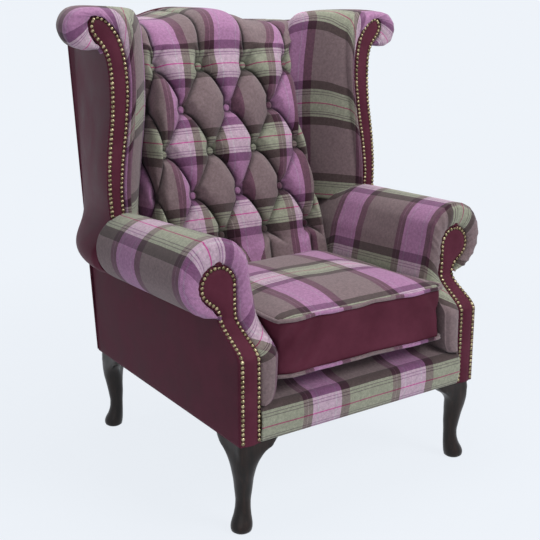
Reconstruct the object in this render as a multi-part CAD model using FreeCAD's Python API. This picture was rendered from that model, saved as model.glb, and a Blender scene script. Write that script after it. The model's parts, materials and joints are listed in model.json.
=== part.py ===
import FreeCAD, Part
import math
import os

# A high-backed wing armchair on four cabriole legs: a deep-buttoned back, side wings with
# outward rolls, set-back scroll arms, nailed facings and one loose seat cushion.
# X runs across (left is -X, seen from the front), Y runs to the back and Z up. Sizes are in mm.

V = FreeCAD.Vector

# Seat box
leg_height = 212.0
rail_height = 80.0
rail_thickness = 28.0
front_half_width = 351.0
rear_half_width = 312.0
base_depth = 758.0
panel_thickness = 12.0
cover_thickness = 2.0
corner_block = 90.0
corner_block_height = 50.0

# Back
back_rake_outer = 5.05
post_depth = 75.0
post_width = 28.0
shoulder_height = 1096.0
crest_rise = 92.0
top_row_drop = 28.0
hump_height = 31.0
hump_half_width = 175.0
hump_bend = 105.0
top_rail_height = 70.0
tuck_rail_height = 50.0
back_flare = 12.0

# Deep buttoning on the inside back
button_pitch = 137.0
button_rows = 5
row_drop = 106.75
tuft_top_height = shoulder_height - crest_rise
top_row_height = tuft_top_height - top_row_drop
tuft_rake = 13.2
top_row_depth = 605.0
tuft_depth = 38.0
crease_depth = 22.0
button_radius = 11.0
button_thickness = 7.0
button_sides = 12
barrel_steps = 4
back_pad_half_width = 262.0
pleat_width = 5.0
pleat_depth = 9.0

# Arms
facing_width = 54.0
facing_thickness = 12.0
lean_start_height = 405.0
lean_end_height = 470.0
arm_set_back = 80.0
lean_radius = 30.0
scroll_height = 548.0
scroll_radius = 47.0
scroll_inset = 1.0
arm_inner_half_gap = 250.0
arm_pad_depth = 52.0
arm_post_depth = 34.0
roll_front_centre = 354.0
roll_front_height = 565.0
roll_front_radius = 86.0
roll_rear_centre = 375.0
roll_rear_height = 571.0
roll_rear_radius = 76.0
roll_end = 568.0
roll_edge = 16.0
arm_skirt_height = 500.0
pad_bulge = 8.0
arm_rail_height = 45.0

# Wings
wing_front = 450.0
wing_rake = 2.3
wing_foot_height = 636.0
wing_top_height = 1120.0
wing_facing_width = 51.0
wing_waist_inner = 341.0
wing_waist_height = 945.0
wing_roll_reach = 488.0
wing_roll_under = 1023.0
wing_skin = 10.0
fold_half_width = 226.0
fold_depth = 612.0
wing_rear = 824.0

# Seat
ledge_height = 296.0
border_bulge = 8.0
border_back = 26.0
deck_height = 338.0
strap_width = 50.0
strap_thickness = 2.0
cushion_half_width = 243.0
cushion_front = 4.0
cushion_rear = 480.0
cushion_seam_low = 346.0
cushion_seam_high = 468.0
cushion_crown = 32.0
cushion_corner = 34.0
cushion_draw_in = 5.0
cushion_gap = 3.0

# Legs
foot_radius = 27.0
ankle_radius = 18.0
toe_reach = 5.0
front_foot_inset = 36.0
rear_foot_inset = 42.0
foot_side_inset = 26.0
knee_inset = 31.0
knee_radius = 34.0
ear_reach = 100.0
ear_thickness = 30.0


def move_to(here, moves):
    """Edges from here through each move: a vector makes a line, a pair (through, end) an arc."""
    edges = []
    for move in moves:
        if isinstance(move, tuple):
            through, end = move
            edges.append(Part.Arc(here, through, end).toShape())
            here = end
        elif (move - here).Length > 1e-6:
            edges.append(Part.makeLine(here, move))
            here = move
    return edges


def closed_wire(start, *moves):
    return Part.Wire(move_to(start, moves + (start,)))


def ring(steps, start, *moves):
    """Points round a closed outline; each arc, given as a pair (through, end), takes some steps."""
    points = [start]
    for move in moves:
        if isinstance(move, tuple):
            arc = Part.Arc(points[-1], move[0], move[1]).toShape()
            points.extend(arc.discretize(steps + 1)[1:])
        else:
            points.append(move)
    return points[:-1] if (points[-1] - start).Length < 1e-6 else points


def facets(rings):
    """Solid with flat three-sided faces between rings of as many points, and flat ends."""
    faces = [Part.Face(Part.makePolygon(end + [end[0]])) for end in (rings[0], rings[-1])]
    for low, high in zip(rings, rings[1:]):
        for k in range(len(low)):
            for corners in ((low[k - 1], low[k], high[k]), (low[k - 1], high[k], high[k - 1])):
                if (corners[1] - corners[0]).cross(corners[2] - corners[0]).Length > 1e-6:
                    faces.append(Part.Face(Part.makePolygon(list(corners) + [corners[0]])))
    solid = Part.makeSolid(Part.makeShell(faces))
    if solid.Volume < 0:
        solid.reverse()
    return solid


def prism(wire, direction):
    return Part.Face(wire).extrude(direction)


def box(low, high):
    return Part.makeBox(high[0] - low[0], high[1] - low[1], high[2] - low[2], V(*low))


def loft(wires, ruled=False):
    return Part.makeLoft(wires, True, ruled)


def mirrored(shape):
    return shape.mirror(V(0, 0, 0), V(1, 0, 0))


def blend(low, high, t):
    return low + (high - low) * t


def side_inset(depth):
    """How far the tapering seat box has drawn in, at a distance behind its front."""
    return (front_half_width - rear_half_width) * depth / base_depth


def rear_line(height):
    """Depth of the outside back at a height."""
    return base_depth + (height - leg_height) * math.tan(math.radians(back_rake_outer))


def tuft_line(height):
    """Depth of the buttons' plane at a height."""
    return top_row_depth + (height - top_row_height) * math.tan(math.radians(tuft_rake))


# The arm's front leans back between two bends; lean_line gives it at an offset to the rear.

lean_angle = math.atan2(arm_set_back, lean_end_height - lean_start_height)


def lean_line(offset, x, low, high):
    """Vectors and arcs of the leaning front, from low to high, at an offset behind the facing."""
    half_turn = math.tan(lean_angle / 2)
    slope = V(0, math.sin(lean_angle), math.cos(lean_angle))
    up = V(0, 0, 1)
    lower = V(x, offset, lean_start_height - offset * half_turn)
    upper = V(x, arm_set_back + offset, lean_end_height - offset * half_turn)
    path = [V(x, offset, low)]
    inner_radius = max(lean_radius - offset, 4.0)
    for corner, before, after, radius, side in ((lower, up, slope, inner_radius, 1),
                                                (upper, slope, up, lean_radius + offset, -1)):
        reach = radius * half_turn
        start = corner - before * reach
        end = corner + after * reach
        centre = start + V(0, before.z, -before.y) * radius * side
        towards = corner - centre
        path.append(start)
        path.append((centre + towards * (radius / towards.Length), end))
    path.append(V(x, upper.y, high))
    return path


def behind_lean(offset, low, high, depth, half_width):
    """Everything behind the leaning front at an offset, as a cutting block."""
    path = lean_line(offset, -half_width, low, high)
    wire = closed_wire(path[0], *path[1:], V(-half_width, depth, high), V(-half_width, depth, low))
    return prism(wire, V(2 * half_width, 0, 0))


def lean_band(near, far, low, high):
    """The bent board between two offsets of the leaning front."""
    reach = wing_roll_reach
    front = behind_lean(near, low, high, base_depth, reach)
    return front.cut(behind_lean(far, low - 1, high + 1, base_depth + 1, reach + 1))


# Legs: cabriole legs, round at the ankle and spreading into two ears at the knee


def eased(levels, share):
    """Values at a share of the height, eased between the levels on either side."""
    for lower, upper in zip(levels, levels[1:]):
        if share <= upper[0]:
            t = (share - lower[0]) / (upper[0] - lower[0])
            t = t * t * (3 - 2 * t)
            return [blend(a, b, t) for a, b in zip(lower[1:], upper[1:])]
    return levels[-1][1:]


def leg_section(centre, radius, ear):
    """Section with its knee towards -X and -Y; ears longer than the radius run along +X and +Y."""
    def round_point(degrees):
        return V(math.cos(math.radians(degrees)), math.sin(math.radians(degrees)), 0) * radius
    t = min(1.0, max(0.0, (ear - radius) / radius))
    side = -0.85 * radius
    inside = side + ear_thickness
    spread = (V(ear, side, 0), V(-0.8, -0.8, 0) * radius, V(side, ear, 0),
              V(side + ear_thickness / 2, ear + 3.0, 0), V(inside, ear, 0),
              V(0.7, 0.7, 0) * radius, V(ear, inside, 0), V(ear + 3.0, side + ear_thickness / 2, 0))
    turn = (-60, -135, 150, 120, 90, 45, 0, -30)
    p = [centre + blend(round_point(angle), point, t) for angle, point in zip(turn, spread)]
    return ring(4, p[0], (p[1], p[2]), (p[3], p[4]), (p[5], p[6]), (p[7], p[0]))


def cabriole_leg(lean):
    """The leg over the middle of its foot, its knee and toe towards -X and -Y."""
    levels = ((0.0, toe_reach, foot_radius - 5.0, 0.0), (0.07, toe_reach, foot_radius, 0.0),
              (0.20, -1.0, ankle_radius + 2.0, 0.0), (0.34, -2.0, ankle_radius, 0.0),
              (0.50, 0.0, ankle_radius + 4.0, 1.0), (0.70, 4.0, knee_radius - 3.0, 2.3),
              (0.84, 4.0, knee_radius, 3.0), (1.0, 0.0, knee_radius - 2.0, 3.3))
    steps = 13
    sections = []
    for step in range(steps + 1):
        share = step / steps
        outward, radius, ear = eased(levels, share)
        centre = V(-outward, -outward, 0) + lean * share + V(0, 0, leg_height * share)
        sections.append(leg_section(centre, radius, ear * ear_reach / 3.3))
    return facets(sections)


def leg(foot, knee, outward):
    """A leg whose foot and knee stand at two points, its toe towards the given corner."""
    lean = V((knee.x - foot.x) * -outward[0], (knee.y - foot.y) * -outward[1], 0)
    shape = cabriole_leg(lean)
    if outward[0] > 0:
        shape = mirrored(shape)
    if outward[1] > 0:
        shape = shape.mirror(V(0, 0, 0), V(0, 1, 0))
    shape.translate(foot)
    return shape


front_foot_x = front_half_width - foot_side_inset
rear_foot_x = rear_half_width - foot_side_inset + side_inset(rear_foot_inset)
front_knee_x = front_half_width - knee_inset
rear_knee_x = rear_half_width - knee_inset


# Wooden frame

rail_top = leg_height + rail_height
post_front = facing_thickness
arm_post_inner = front_half_width - facing_width + 8.0
arm_post_outer = front_half_width - panel_thickness
lean_slot = post_front + arm_post_depth


def arm_post():
    """The sawn arm post with its scroll, bent to the leaning front."""
    scroll = facing_centre()
    core = scroll_radius - 10.0
    half = math.radians(40)
    outer_foot = V(scroll.x + core * math.cos(half), 0, scroll.z - core * math.sin(half))
    wire = closed_wire(
        V(arm_post_inner, 0, leg_height), V(arm_post_outer, 0, leg_height),
        V(arm_post_outer, 0, lean_end_height), outer_foot,
        (V(scroll.x + core * math.cos(half), 0, scroll.z + core * math.sin(half)),
         V(scroll.x, 0, scroll.z + core)),
        (V(scroll.x - core * math.cos(half), 0, scroll.z + core * math.sin(half)),
         V(scroll.x - core, 0, scroll.z)),
        V(arm_post_inner, 0, lean_end_height))
    reach = arm_set_back + lean_slot + 10.0
    return prism(wire, V(0, reach, 0)).common(lean_band(post_front, lean_slot, leg_height, 700.0))


def facing_centre():
    return V(front_half_width - scroll_inset, 0, scroll_height)


def inner_side(depth):
    """Half width inside the side panel's lining, at a depth."""
    return front_half_width - side_inset(depth) - panel_thickness


def side_rail():
    front = lean_slot
    rear = rear_line(leg_height) - panel_thickness - post_depth
    low = [V(inner_side(front) - rail_thickness, front, leg_height),
           V(inner_side(front), front, leg_height), V(inner_side(rear), rear, leg_height),
           V(inner_side(rear) - rail_thickness, rear, leg_height)]
    return prism(closed_wire(*low), V(0, 0, rail_height + strap_thickness))


def front_rail():
    half = arm_post_inner
    return box((-half, post_front, leg_height), (half, lean_slot, rail_top))


def back_post():
    """A sawn back post raked with the outside back."""
    low, high = leg_height, shoulder_height - 26.0
    outer = [V(0, rear_line(z) - panel_thickness, z) for z in (low, high)]
    inner = [V(0, p.y - post_depth, p.z) for p in outer]
    wire = closed_wire(inner[0], outer[0], outer[1], inner[1])
    post = prism(wire, V(post_width, 0, 0))
    post.translate(V(inner_side(base_depth) - post_width, 0, 0))
    return post


def between_posts(low, high, thickness, offset):
    """A raked rail between the back posts, offset in from their outside."""
    half = inner_side(base_depth) - post_width
    outer = [V(-half, rear_line(z) - panel_thickness - offset, z) for z in (low, high)]
    inner = [V(-half, p.y - thickness, p.z) for p in outer]
    return prism(closed_wire(inner[0], outer[0], outer[1], inner[1]), V(2 * half, 0, 0))


def hump(x):
    """Height of the camel hump above the shoulders at a distance from the middle."""
    x = abs(x)
    fall = hump_height * (hump_half_width - hump_bend) / hump_half_width
    if x >= hump_half_width:
        return 0.0
    if x > hump_bend:
        return fall * ((hump_half_width - x) / (hump_half_width - hump_bend)) ** 2
    return hump_height - (hump_height - fall) * (x / hump_bend) ** 2


def crest_outline(drop, low, low_half, half):
    """The camel-hump outline of the back, dropped inside its edge and narrower at its foot."""
    def rim(x):
        return V(x, 0, shoulder_height - drop + hump(x))
    outer, bend = hump_half_width, hump_bend
    middle = (outer + bend) / 2
    return closed_wire(
        V(-low_half, 0, low), rim(-half), rim(-outer), (rim(-middle), rim(-bend)),
        (rim(0), rim(bend)), (rim(middle), rim(outer)), rim(half), V(low_half, 0, low))


def back_slab(near, far, low, high, half):
    """The raked slice between two distances in front of the outside back's face."""
    outer = [V(-half, rear_line(z) - near, z) for z in (low, high)]
    inner = [V(-half, rear_line(z) - far, z) for z in (high, low)]
    return prism(closed_wire(*outer, *inner), V(2 * half, 0, 0))


def top_rail():
    """The sawn top rail between the back posts, its upper edge following the hump."""
    half = inner_side(base_depth) - post_width
    drop = 24.0
    low = shoulder_height - drop - top_rail_height
    outline = prism(crest_outline(drop, low, half, half), V(0, 2 * base_depth, 0))
    return outline.common(back_slab(panel_thickness, panel_thickness + rail_thickness,
                                    low - 10.0, shoulder_height + hump_height, half))


def arm_rail():
    """The arm's sawn board inside the roll: it carries the wing post and ends on the back post."""
    low = roll_front_height - arm_rail_height / 2
    front = arm_set_back + lean_slot
    turn = wing_front + 40.0
    rear = rear_line(roll_rear_height)
    post = inner_side(base_depth)
    outline = closed_wire(
        V(front_half_width - facing_width + 6.0, front, low),
        V(front_half_width + scroll_radius - 20.0, front, low),
        V(wing_waist_inner + wing_facing_width + 8.0, turn, low), V(post + 20.0, rear, low),
        V(post - post_width / 2, rear, low), V(post + 16.0, turn, low))
    board = prism(outline, V(0, 0, arm_rail_height))
    return board.cut(back_slab(panel_thickness + post_depth, -400.0, low - 1, low + 100.0, 500.0))


def front_corner_block():
    """A triangular block in the front corner of the seat frame, above the leg."""
    front = lean_slot
    x = inner_side(front) - rail_thickness
    rear_x = inner_side(front + corner_block) - rail_thickness
    return prism(closed_wire(V(x, front, leg_height), V(x - corner_block, front, leg_height),
                             V(rear_x, front + corner_block, leg_height)),
                 V(0, 0, corner_block_height))


def rear_corner_block():
    """The same block between the back post and the rear rail."""
    x = inner_side(base_depth) - post_width
    rear = rear_line(leg_height) - panel_thickness - rail_thickness
    return prism(closed_wire(V(x, rear, leg_height), V(x - corner_block, rear, leg_height),
                             V(x, rear - corner_block, leg_height)),
                 V(0, 0, corner_block_height))


# Facings


def arm_facing():
    """The nailed board on the arm's front: a straight foot, a bend back and a scroll head."""
    scroll = facing_centre()
    inner = front_half_width - facing_width
    outer = front_half_width
    r = scroll_radius

    def rim(degrees):
        a = math.radians(degrees)
        return V(scroll.x + r * math.cos(a), 0, scroll.z + r * math.sin(a))
    waist = V(outer, 0, scroll.z - 1.35 * r)
    wire = closed_wire(
        V(inner, 0, leg_height), V(outer, 0, leg_height), waist,
        (V(outer + 0.22 * r, 0, scroll.z - 0.9 * r), rim(-35)),
        (rim(28), rim(90)), (rim(135), rim(180)), V(rim(180).x, 0, lean_end_height),
        V(inner, 0, lean_start_height))
    reach = arm_set_back + facing_thickness + 10.0
    return prism(wire, V(0, reach, 0)).common(lean_band(0.0, facing_thickness, leg_height, 700.0))


def leaned(shape):
    """Lean a piece of the wing's front back about the foot of the wing."""
    shape.rotate(V(0, wing_front, wing_foot_height), V(1, 0, 0), -wing_rake)
    return shape


def leaned_point(point):
    """A point of the wing's front, leaned back about the foot of the wing."""
    low = V(0, wing_front, wing_foot_height)
    turn = FreeCAD.Rotation(V(1, 0, 0), -wing_rake)
    return low + turn.multVec(point - low)


def wing_outline(inset, outer_inset, foot):
    """The S-curved outline of the wing's front board, drawn in by an inset on either side."""
    low_in = wing_waist_inner + 21.0 + inset
    low_out = low_in + wing_facing_width - 4.0 - inset - outer_inset
    waist_in = wing_waist_inner + inset
    waist_out = waist_in + wing_facing_width - inset - outer_inset
    waist = wing_waist_height
    belly_in = V(low_in + 5.0, wing_front, 705.0)
    belly_out = V(low_out + 3.0, wing_front, 715.0)
    head = waist + 152.0 - inset
    head_out = waist_out + 42.0
    points = ring(
        4, V(low_in, wing_front, foot), (belly_in, V(low_in - 3.0, wing_front, waist - 150.0)),
        (V(waist_in + 6.0, wing_front, waist - 75.0), V(waist_in, wing_front, waist)),
        (V(waist_in + 4.0, wing_front, waist + 58.0), V(waist_in + 22.0, wing_front, waist + 108.0)),
        (V(waist_in + 37.0, wing_front, waist + 134.0), V(waist_in + 60.0, wing_front, head - 2.0)),
        (V(waist_in + 84.0, wing_front, head + 1.0), V(head_out, wing_front, waist + 132.0)),
        (V(head_out - 4.0, wing_front, waist + 112.0), V(head_out - 25.0, wing_front, waist + 87.0)),
        (V(waist_out + 4.0, wing_front, waist + 42.0), V(waist_out, wing_front, waist - 16.0)),
        (V(waist_out + 3.0, wing_front, waist - 68.0), V(waist_out + 11.0, wing_front, waist - 122.0)),
        (belly_out, V(low_out, wing_front, foot)))
    return closed_wire(*points)


def wing_facing():
    return leaned(prism(wing_outline(0.0, 0.0, wing_foot_height - 10.0), V(0, facing_thickness, 0)))


def wing_post():
    """The sawn wing post behind the facing, standing on the arm rail."""
    foot = roll_front_height + arm_rail_height / 2
    post = prism(wing_outline(7.0, 20.0, foot), V(0, arm_post_depth - 6.0, 0))
    post.translate(V(0, facing_thickness, 0))
    return leaned(post)


def wing_rail():
    """The beam from the wing post's head back to the back post."""
    high = wing_waist_height + 108.0
    front = wing_front + facing_thickness + 40.0
    rear = rear_line(high) - panel_thickness - post_depth
    x = wing_waist_inner + 40.0
    rear_x = inner_side(base_depth)
    low = high - 40.0
    return prism(closed_wire(V(x - 26.0, front, low), V(x, front, low), V(rear_x, rear, low),
                             V(rear_x - 26.0, rear, low)), V(0, 0, 40.0))


# Arm pads


def roll_section(depth, inset):
    """Round section of the arm's roll at a depth, drawn in by an inset."""
    span = (depth - arm_set_back) / (roll_end - arm_set_back)
    centre = V(blend(roll_front_centre, roll_rear_centre, span), depth,
               blend(roll_front_height, roll_rear_height, span))
    radius = blend(roll_front_radius, roll_rear_radius, span) - inset
    rim = [centre + V(math.cos(a), 0, math.sin(a)) * radius
           for a in (math.radians(45 * k) for k in range(9))]
    return ring(6, rim[0], (rim[1], rim[2]), (rim[3], rim[4]), (rim[5], rim[6]), (rim[7], rim[0]))


def inner_wall_section(depth):
    """Section of the arm's padded inner face, running up into the roll."""
    span = (depth - arm_set_back) / (roll_end - arm_set_back)
    x = blend(roll_front_centre, roll_rear_centre, span)
    z = blend(roll_front_height, roll_rear_height, span)
    r = blend(roll_front_radius, roll_rear_radius, span)
    a = math.radians(145)
    top = V(x + r * math.cos(a), depth, z + r * math.sin(a))
    back = arm_inner_half_gap + arm_pad_depth - side_inset(depth) * 0.5
    return ring(
        6, V(arm_inner_half_gap, depth, deck_height), V(arm_inner_half_gap, depth, cushion_seam_high),
        (V(arm_inner_half_gap + 10.0, depth, z - 18.0), top),
        V(x, depth, z), V(back, depth, cushion_seam_high), V(back, depth, deck_height))


def arm_front_strip():
    """The bulging strip between the facing and the seat cushion, resting on the ledge."""
    inner = front_half_width - facing_width
    wire = closed_wire(
        V(inner, 0, ledge_height), V(inner - 24.0, 0, ledge_height),
        (V(inner - 44.0, 0, ledge_height + 14.0), V(arm_inner_half_gap, 0, ledge_height + 50.0)),
        V(arm_inner_half_gap, 0, cushion_seam_high + 20.0), V(inner, 0, cushion_seam_high + 60.0))
    strip = prism(wire, V(0, 3 * arm_set_back, 0))
    strip.translate(V(0, -pad_bulge, 0))
    return strip


def arm_pad():
    """The arm's padding: an inner face that rises into a round roll with a pleated front."""
    front = arm_set_back + 3.0
    rounding = ((front, roll_edge), (front + 0.3 * roll_edge, 0.45 * roll_edge),
                (front + roll_edge, 0.0))
    sections = [roll_section(depth, inset) for depth, inset in rounding]
    sections.append(roll_section(blend(front, roll_end, 0.5), 0.0))
    sections.append(roll_section(roll_end, 0.0))
    roll = facets(sections)
    wall = facets([inner_wall_section(-pad_bulge), inner_wall_section(roll_end)])
    inner = arm_front_strip().common(behind_lean(-pad_bulge, leg_height, 700.0, 3 * arm_set_back, 400.0))
    wall = wall.common(behind_lean(-pad_bulge, leg_height, 700.0, roll_end, 400.0))
    return roll.fuse(wall).fuse(inner)


def outside_arm():
    """The flat leather side below the roll, tapering to the back."""
    front = facing_thickness
    high = roll_front_height
    rear = base_depth + 100.0
    outer_front = front_half_width - side_inset(front)
    outer_rear = front_half_width - side_inset(rear)
    panel = prism(closed_wire(
        V(outer_front - panel_thickness, front, leg_height), V(outer_front, front, leg_height),
        V(outer_rear, rear, leg_height), V(outer_rear - panel_thickness, rear, leg_height)),
        V(0, 0, high - leg_height))
    panel = panel.common(behind_lean(facing_thickness, leg_height, 700.0, rear, 400.0))
    panel = panel.cut(box((0, roll_end, arm_skirt_height), (400.0, rear, high)))
    return panel.cut(back_slab(panel_thickness, -200.0, leg_height - 1, high + 1, 400.0))


# Wings


def wing_station(depth, inner, outer, reach, top, under, inset):
    """Section of the wing at a depth: padded inner face, roll over the top and outer face."""
    low = wing_foot_height - 40.0
    waist = wing_waist_height
    inner = inner + inset
    reach = reach - inset
    top = top - inset
    under = under + inset
    mid = (top + under) / 2
    half = (top - under) / 2
    head = reach - half * 1.05
    shoulder = min(inner + 46.0, (inner + head) / 2)
    return ring(
        4, V(inner + 22.0, depth, low), (V(inner + 12.0, depth, (low + waist) / 2), V(inner, depth, waist)),
        V(inner, depth, top - 44.0),
        (V(inner + 11.0, depth, top - 15.0), V(shoulder, depth, top - 4.0)),
        (V((shoulder + head) / 2, depth, top - 0.5), V(head, depth, top)),
        (V(head + half * 0.8, depth, mid + half * 0.68), V(reach, depth, mid)),
        (V(head + half * 0.74, depth, mid - half * 0.7), V(head, depth, under)),
        V(outer, depth, under + 4.0), V(outer, depth, waist),
        (V(outer + 7.0, depth, (low + waist) / 2), V(outer + 9.0, depth, low)))


def wing_pad():
    """The padded wing, its inner face running from the front board to the fold with the back."""
    front = wing_front + 3.0
    slope = (wing_waist_inner - 3.0 - fold_half_width) / (fold_depth - wing_front)
    stations = []
    plan = ((front, 12.0, 1.0), (front + 5.0, 4.0, 1.0), (front + 16.0, 0.0, 1.0),
            (front + 75.0, 0.0, 0.97), (front + 110.0, 0.0, 0.82), (fold_depth - 12.0, 0.0, 0.62),
            (fold_depth + 30.0, 0.0, 0.42),
            (fold_depth + 62.0, 0.0, 0.28), (wing_rear, 0.0, 0.0))
    for depth, inset, swell in plan:
        inner = max(wing_waist_inner - 3.0 - slope * (depth - wing_front), fold_half_width)
        if depth > fold_depth + 60.0:
            inner = inner_side(base_depth) + 2.0
        outer = wing_skin_line(depth) - wing_skin
        rear_reach = outer + 2.6 * wing_skin
        reach = blend(rear_reach, wing_roll_reach, swell)
        top = blend(shoulder_height - 3.0, wing_top_height, min(1.0, swell * 1.3))
        under = blend(shoulder_height - 42.0, wing_roll_under, min(1.0, swell * 1.6))
        station = wing_station(depth, inner, outer, reach, top, under, inset)
        if depth < front + 20.0:
            station = [leaned_point(point) for point in station]
        stations.append(station)
    return facets(stations)


def wing_skin_line(depth):
    """Half width of the outside of the wing's leather, at a depth."""
    front = wing_waist_inner + wing_facing_width
    return blend(front, rear_half_width + 8.0, (depth - wing_front) / (wing_rear - wing_front))


def outside_wing_section(depth, swell):
    """A thin upright section of the outside wing with the bulge at its foot."""
    x = wing_skin_line(depth)
    low = arm_skirt_height
    waist = wing_waist_height
    neck_height = low + 150.0
    belly = V(x + 16.0 + swell, depth, low + 46.0)
    neck = V(x + 9.0, depth, neck_height)
    outer = ring(4, V(x + 2.0, depth, low), (V(x + 12.0 + swell, depth, low + 14.0), belly),
                 (V(x + 13.0 + swell * 0.4, depth, low + 95.0), neck),
                 (V(x + 8.0, depth, (neck_height + waist) / 2), V(x, depth, waist)),
                 V(x, depth, wing_roll_under + 50.0))
    return outer + [point - V(wing_skin, 0, 0) for point in reversed(outer)]


def outside_wing():
    """The leather outside of the wing, down to the ledge behind the arm."""
    return facets([outside_wing_section(depth, swell)
                   for depth, swell in ((wing_front + facing_thickness, 14.0), (roll_end + 40.0, 10.0),
                                        (base_depth + 100.0, 0.0))])


# Deep-buttoned back


def button_places():
    """Rows of (across, up) button places in pitches, from the top row down."""
    rows = []
    for row in range(button_rows):
        across = (-1.5, -0.5, 0.5, 1.5) if row % 2 == 0 else (-1.0, 0.0, 1.0)
        rows.append([(x * button_pitch, -row * row_drop) for x in across])
    return rows


def raked(shape):
    """Turn a piece made flat, with +Y up the back and +Z towards the sitter, to the back's rake."""
    shape.rotate(V(0, 0, 0), V(1, 0, 0), 90 - tuft_rake)
    shape.translate(V(0, top_row_depth, top_row_height))
    return shape


def pleat_barrels(sign):
    """Barrels side by side along one diagonal of the buttoning, meeting along its pleats."""
    across = button_pitch / 2
    up = row_drop / math.cos(math.radians(tuft_rake))
    diagonal = math.hypot(across, up)
    spacing = 2 * across * up / diagonal
    along = V(across / diagonal, sign * up / diagonal, 0)
    aside = V(up / diagonal, -sign * across / diagonal, 0)
    crease = V(across, 0, tuft_depth - crease_depth)
    count = button_rows + 2
    outline = [crease - aside * (count * spacing) - V(0, 0, 2 * tuft_depth)]
    for k in range(-count, count):
        for step in range(barrel_steps):
            share = step / barrel_steps
            rise = crease_depth * (1 - (2 * share - 1) ** 2)
            outline.append(crease + aside * ((k + share) * spacing) + V(0, 0, rise))
    outline.append(crease + aside * (count * spacing))
    outline.append(crease + aside * (count * spacing) - V(0, 0, 2 * tuft_depth))
    reach = diagonal * (button_rows + 3)
    wire = Part.makePolygon([point - along * reach for point in outline + [outline[0]]])
    return prism(wire, along * (2 * reach))


def button_pit(x, y):
    """A four-sided hollow that widens from a button out to the pillows around it."""
    def square(half_x, half_y, height):
        return closed_wire(V(x - half_x, y - half_y, height), V(x + half_x, y - half_y, height),
                           V(x + half_x, y + half_y, height), V(x - half_x, y + half_y, height))
    floor = button_radius + 1.0
    return loft([square(floor, floor, 0.0), square(floor + 14.0, floor + 24.0, tuft_depth)], True)


def tufted_panel():
    """Pillows between the buttons, where the barrels of both diagonals overlap.

    Each family of barrels meets along one direction of pleats, so what both share is a field of
    domed diamonds with a crease on every side, and a pit goes down at each crossing for a button.
    """
    up = row_drop / math.cos(math.radians(tuft_rake))
    low, high = -(button_rows + 1.2) * up, 1.2 * up
    field = box((-back_pad_half_width, low, -1.0), (back_pad_half_width, high, 2 * tuft_depth))
    pad = pleat_barrels(1).common(pleat_barrels(-1)).common(field)
    pits = []
    for row in button_places():
        for x, drop in row:
            pits.append(button_pit(x, drop / math.cos(math.radians(tuft_rake))))
    return raked(pad.cut(pits[0].multiFuse(pits[1:])))


def covered_button(place):
    """A low dome in two flat-faced steps."""
    def rim(share, height):
        points = []
        for k in range(button_sides):
            turn = math.radians(360.0 * k / button_sides)
            points.append(place + V(math.cos(turn), math.sin(turn), 0) * (share * button_radius)
                          + V(0, 0, height * button_thickness))
        return points
    return facets([rim(1.0, 0.0), rim(0.94, 0.5), rim(0.5, 1.0)])


def button_row(row):
    """One row of covered buttons, each a low dome at the bottom of its pit."""
    buttons = []
    for x, drop in button_places()[row]:
        place = V(x, drop / math.cos(math.radians(tuft_rake)), 0)
        buttons.append(raked(covered_button(place)))
    return Part.makeCompound(buttons)


def inside_back():
    """The tufted panel on its stuffing, let in over the seat cushion's back edge."""
    low = deck_height
    webbing = panel_thickness + post_depth + strap_thickness
    stuffing = back_slab(webbing, 400.0, low, tuft_top_height, back_pad_half_width)
    behind = [V(-back_pad_half_width, tuft_line(z), z) for z in (low, tuft_top_height)]
    cut = prism(closed_wire(behind[0], behind[1], behind[1] - V(0, 400, 0), behind[0] - V(0, 400, 0)),
                V(2 * back_pad_half_width, 0, 0))
    stuffing = stuffing.cut(cut)
    panel = tufted_panel().common(box((-300, 0, low), (300, base_depth, tuft_top_height)))
    pad = stuffing.fuse(panel)
    room = box((-cushion_half_width - 20.0, 0, low - 1),
               (cushion_half_width + 20.0, cushion_rear + cushion_gap, cushion_seam_high + 24.0))
    return pad.cut(room)


def crest_section(x):
    """Upright section of the top roll at a distance from the middle."""
    low = tuft_top_height
    high = shoulder_height + hump(x)
    front = tuft_line(low) - tuft_depth * 0.72
    rear_high = rear_line(high) - panel_thickness
    rear_low = rear_line(low) - panel_thickness
    turn = front + 96.0
    return ring(
        4, V(x, front, low), (V(x, front + 1.0, low + 36.0), V(x, front + 26.0, high - 34.0)),
        (V(x, front + 52.0, high - 16.0), V(x, turn, high - 7.0)),
        V(x, rear_high, high), V(x, rear_low, low))


def crest_roll():
    """The top roll with its hump and the pleats that run up from the top row of buttons."""
    half = inner_side(base_depth) + 2.0
    steps = 6
    places = [-half] + [hump_half_width * k / steps for k in range(-steps, steps + 1)] + [half]
    roll = facets([crest_section(x) for x in places])
    inside = roll.copy()
    inside.translate(V(0, pleat_depth, -pleat_depth))
    for across in (-1.5, -0.5, 0.5, 1.5):
        x = across * button_pitch
        slot = box((x - pleat_width / 2, 400, tuft_top_height), (x + pleat_width / 2, 810, 1200))
        roll = roll.cut(slot.common(roll).cut(inside))
    return roll


def outside_back():
    """The flat leather outside back with the camel hump along its top."""
    high = shoulder_height + hump_height
    outline = prism(crest_outline(0.0, leg_height, rear_half_width, rear_half_width + back_flare),
                    V(0, 2 * base_depth, 0))
    slab = back_slab(0.0, panel_thickness, leg_height, high, 400.0)
    return slab.common(outline)


# Seat


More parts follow.
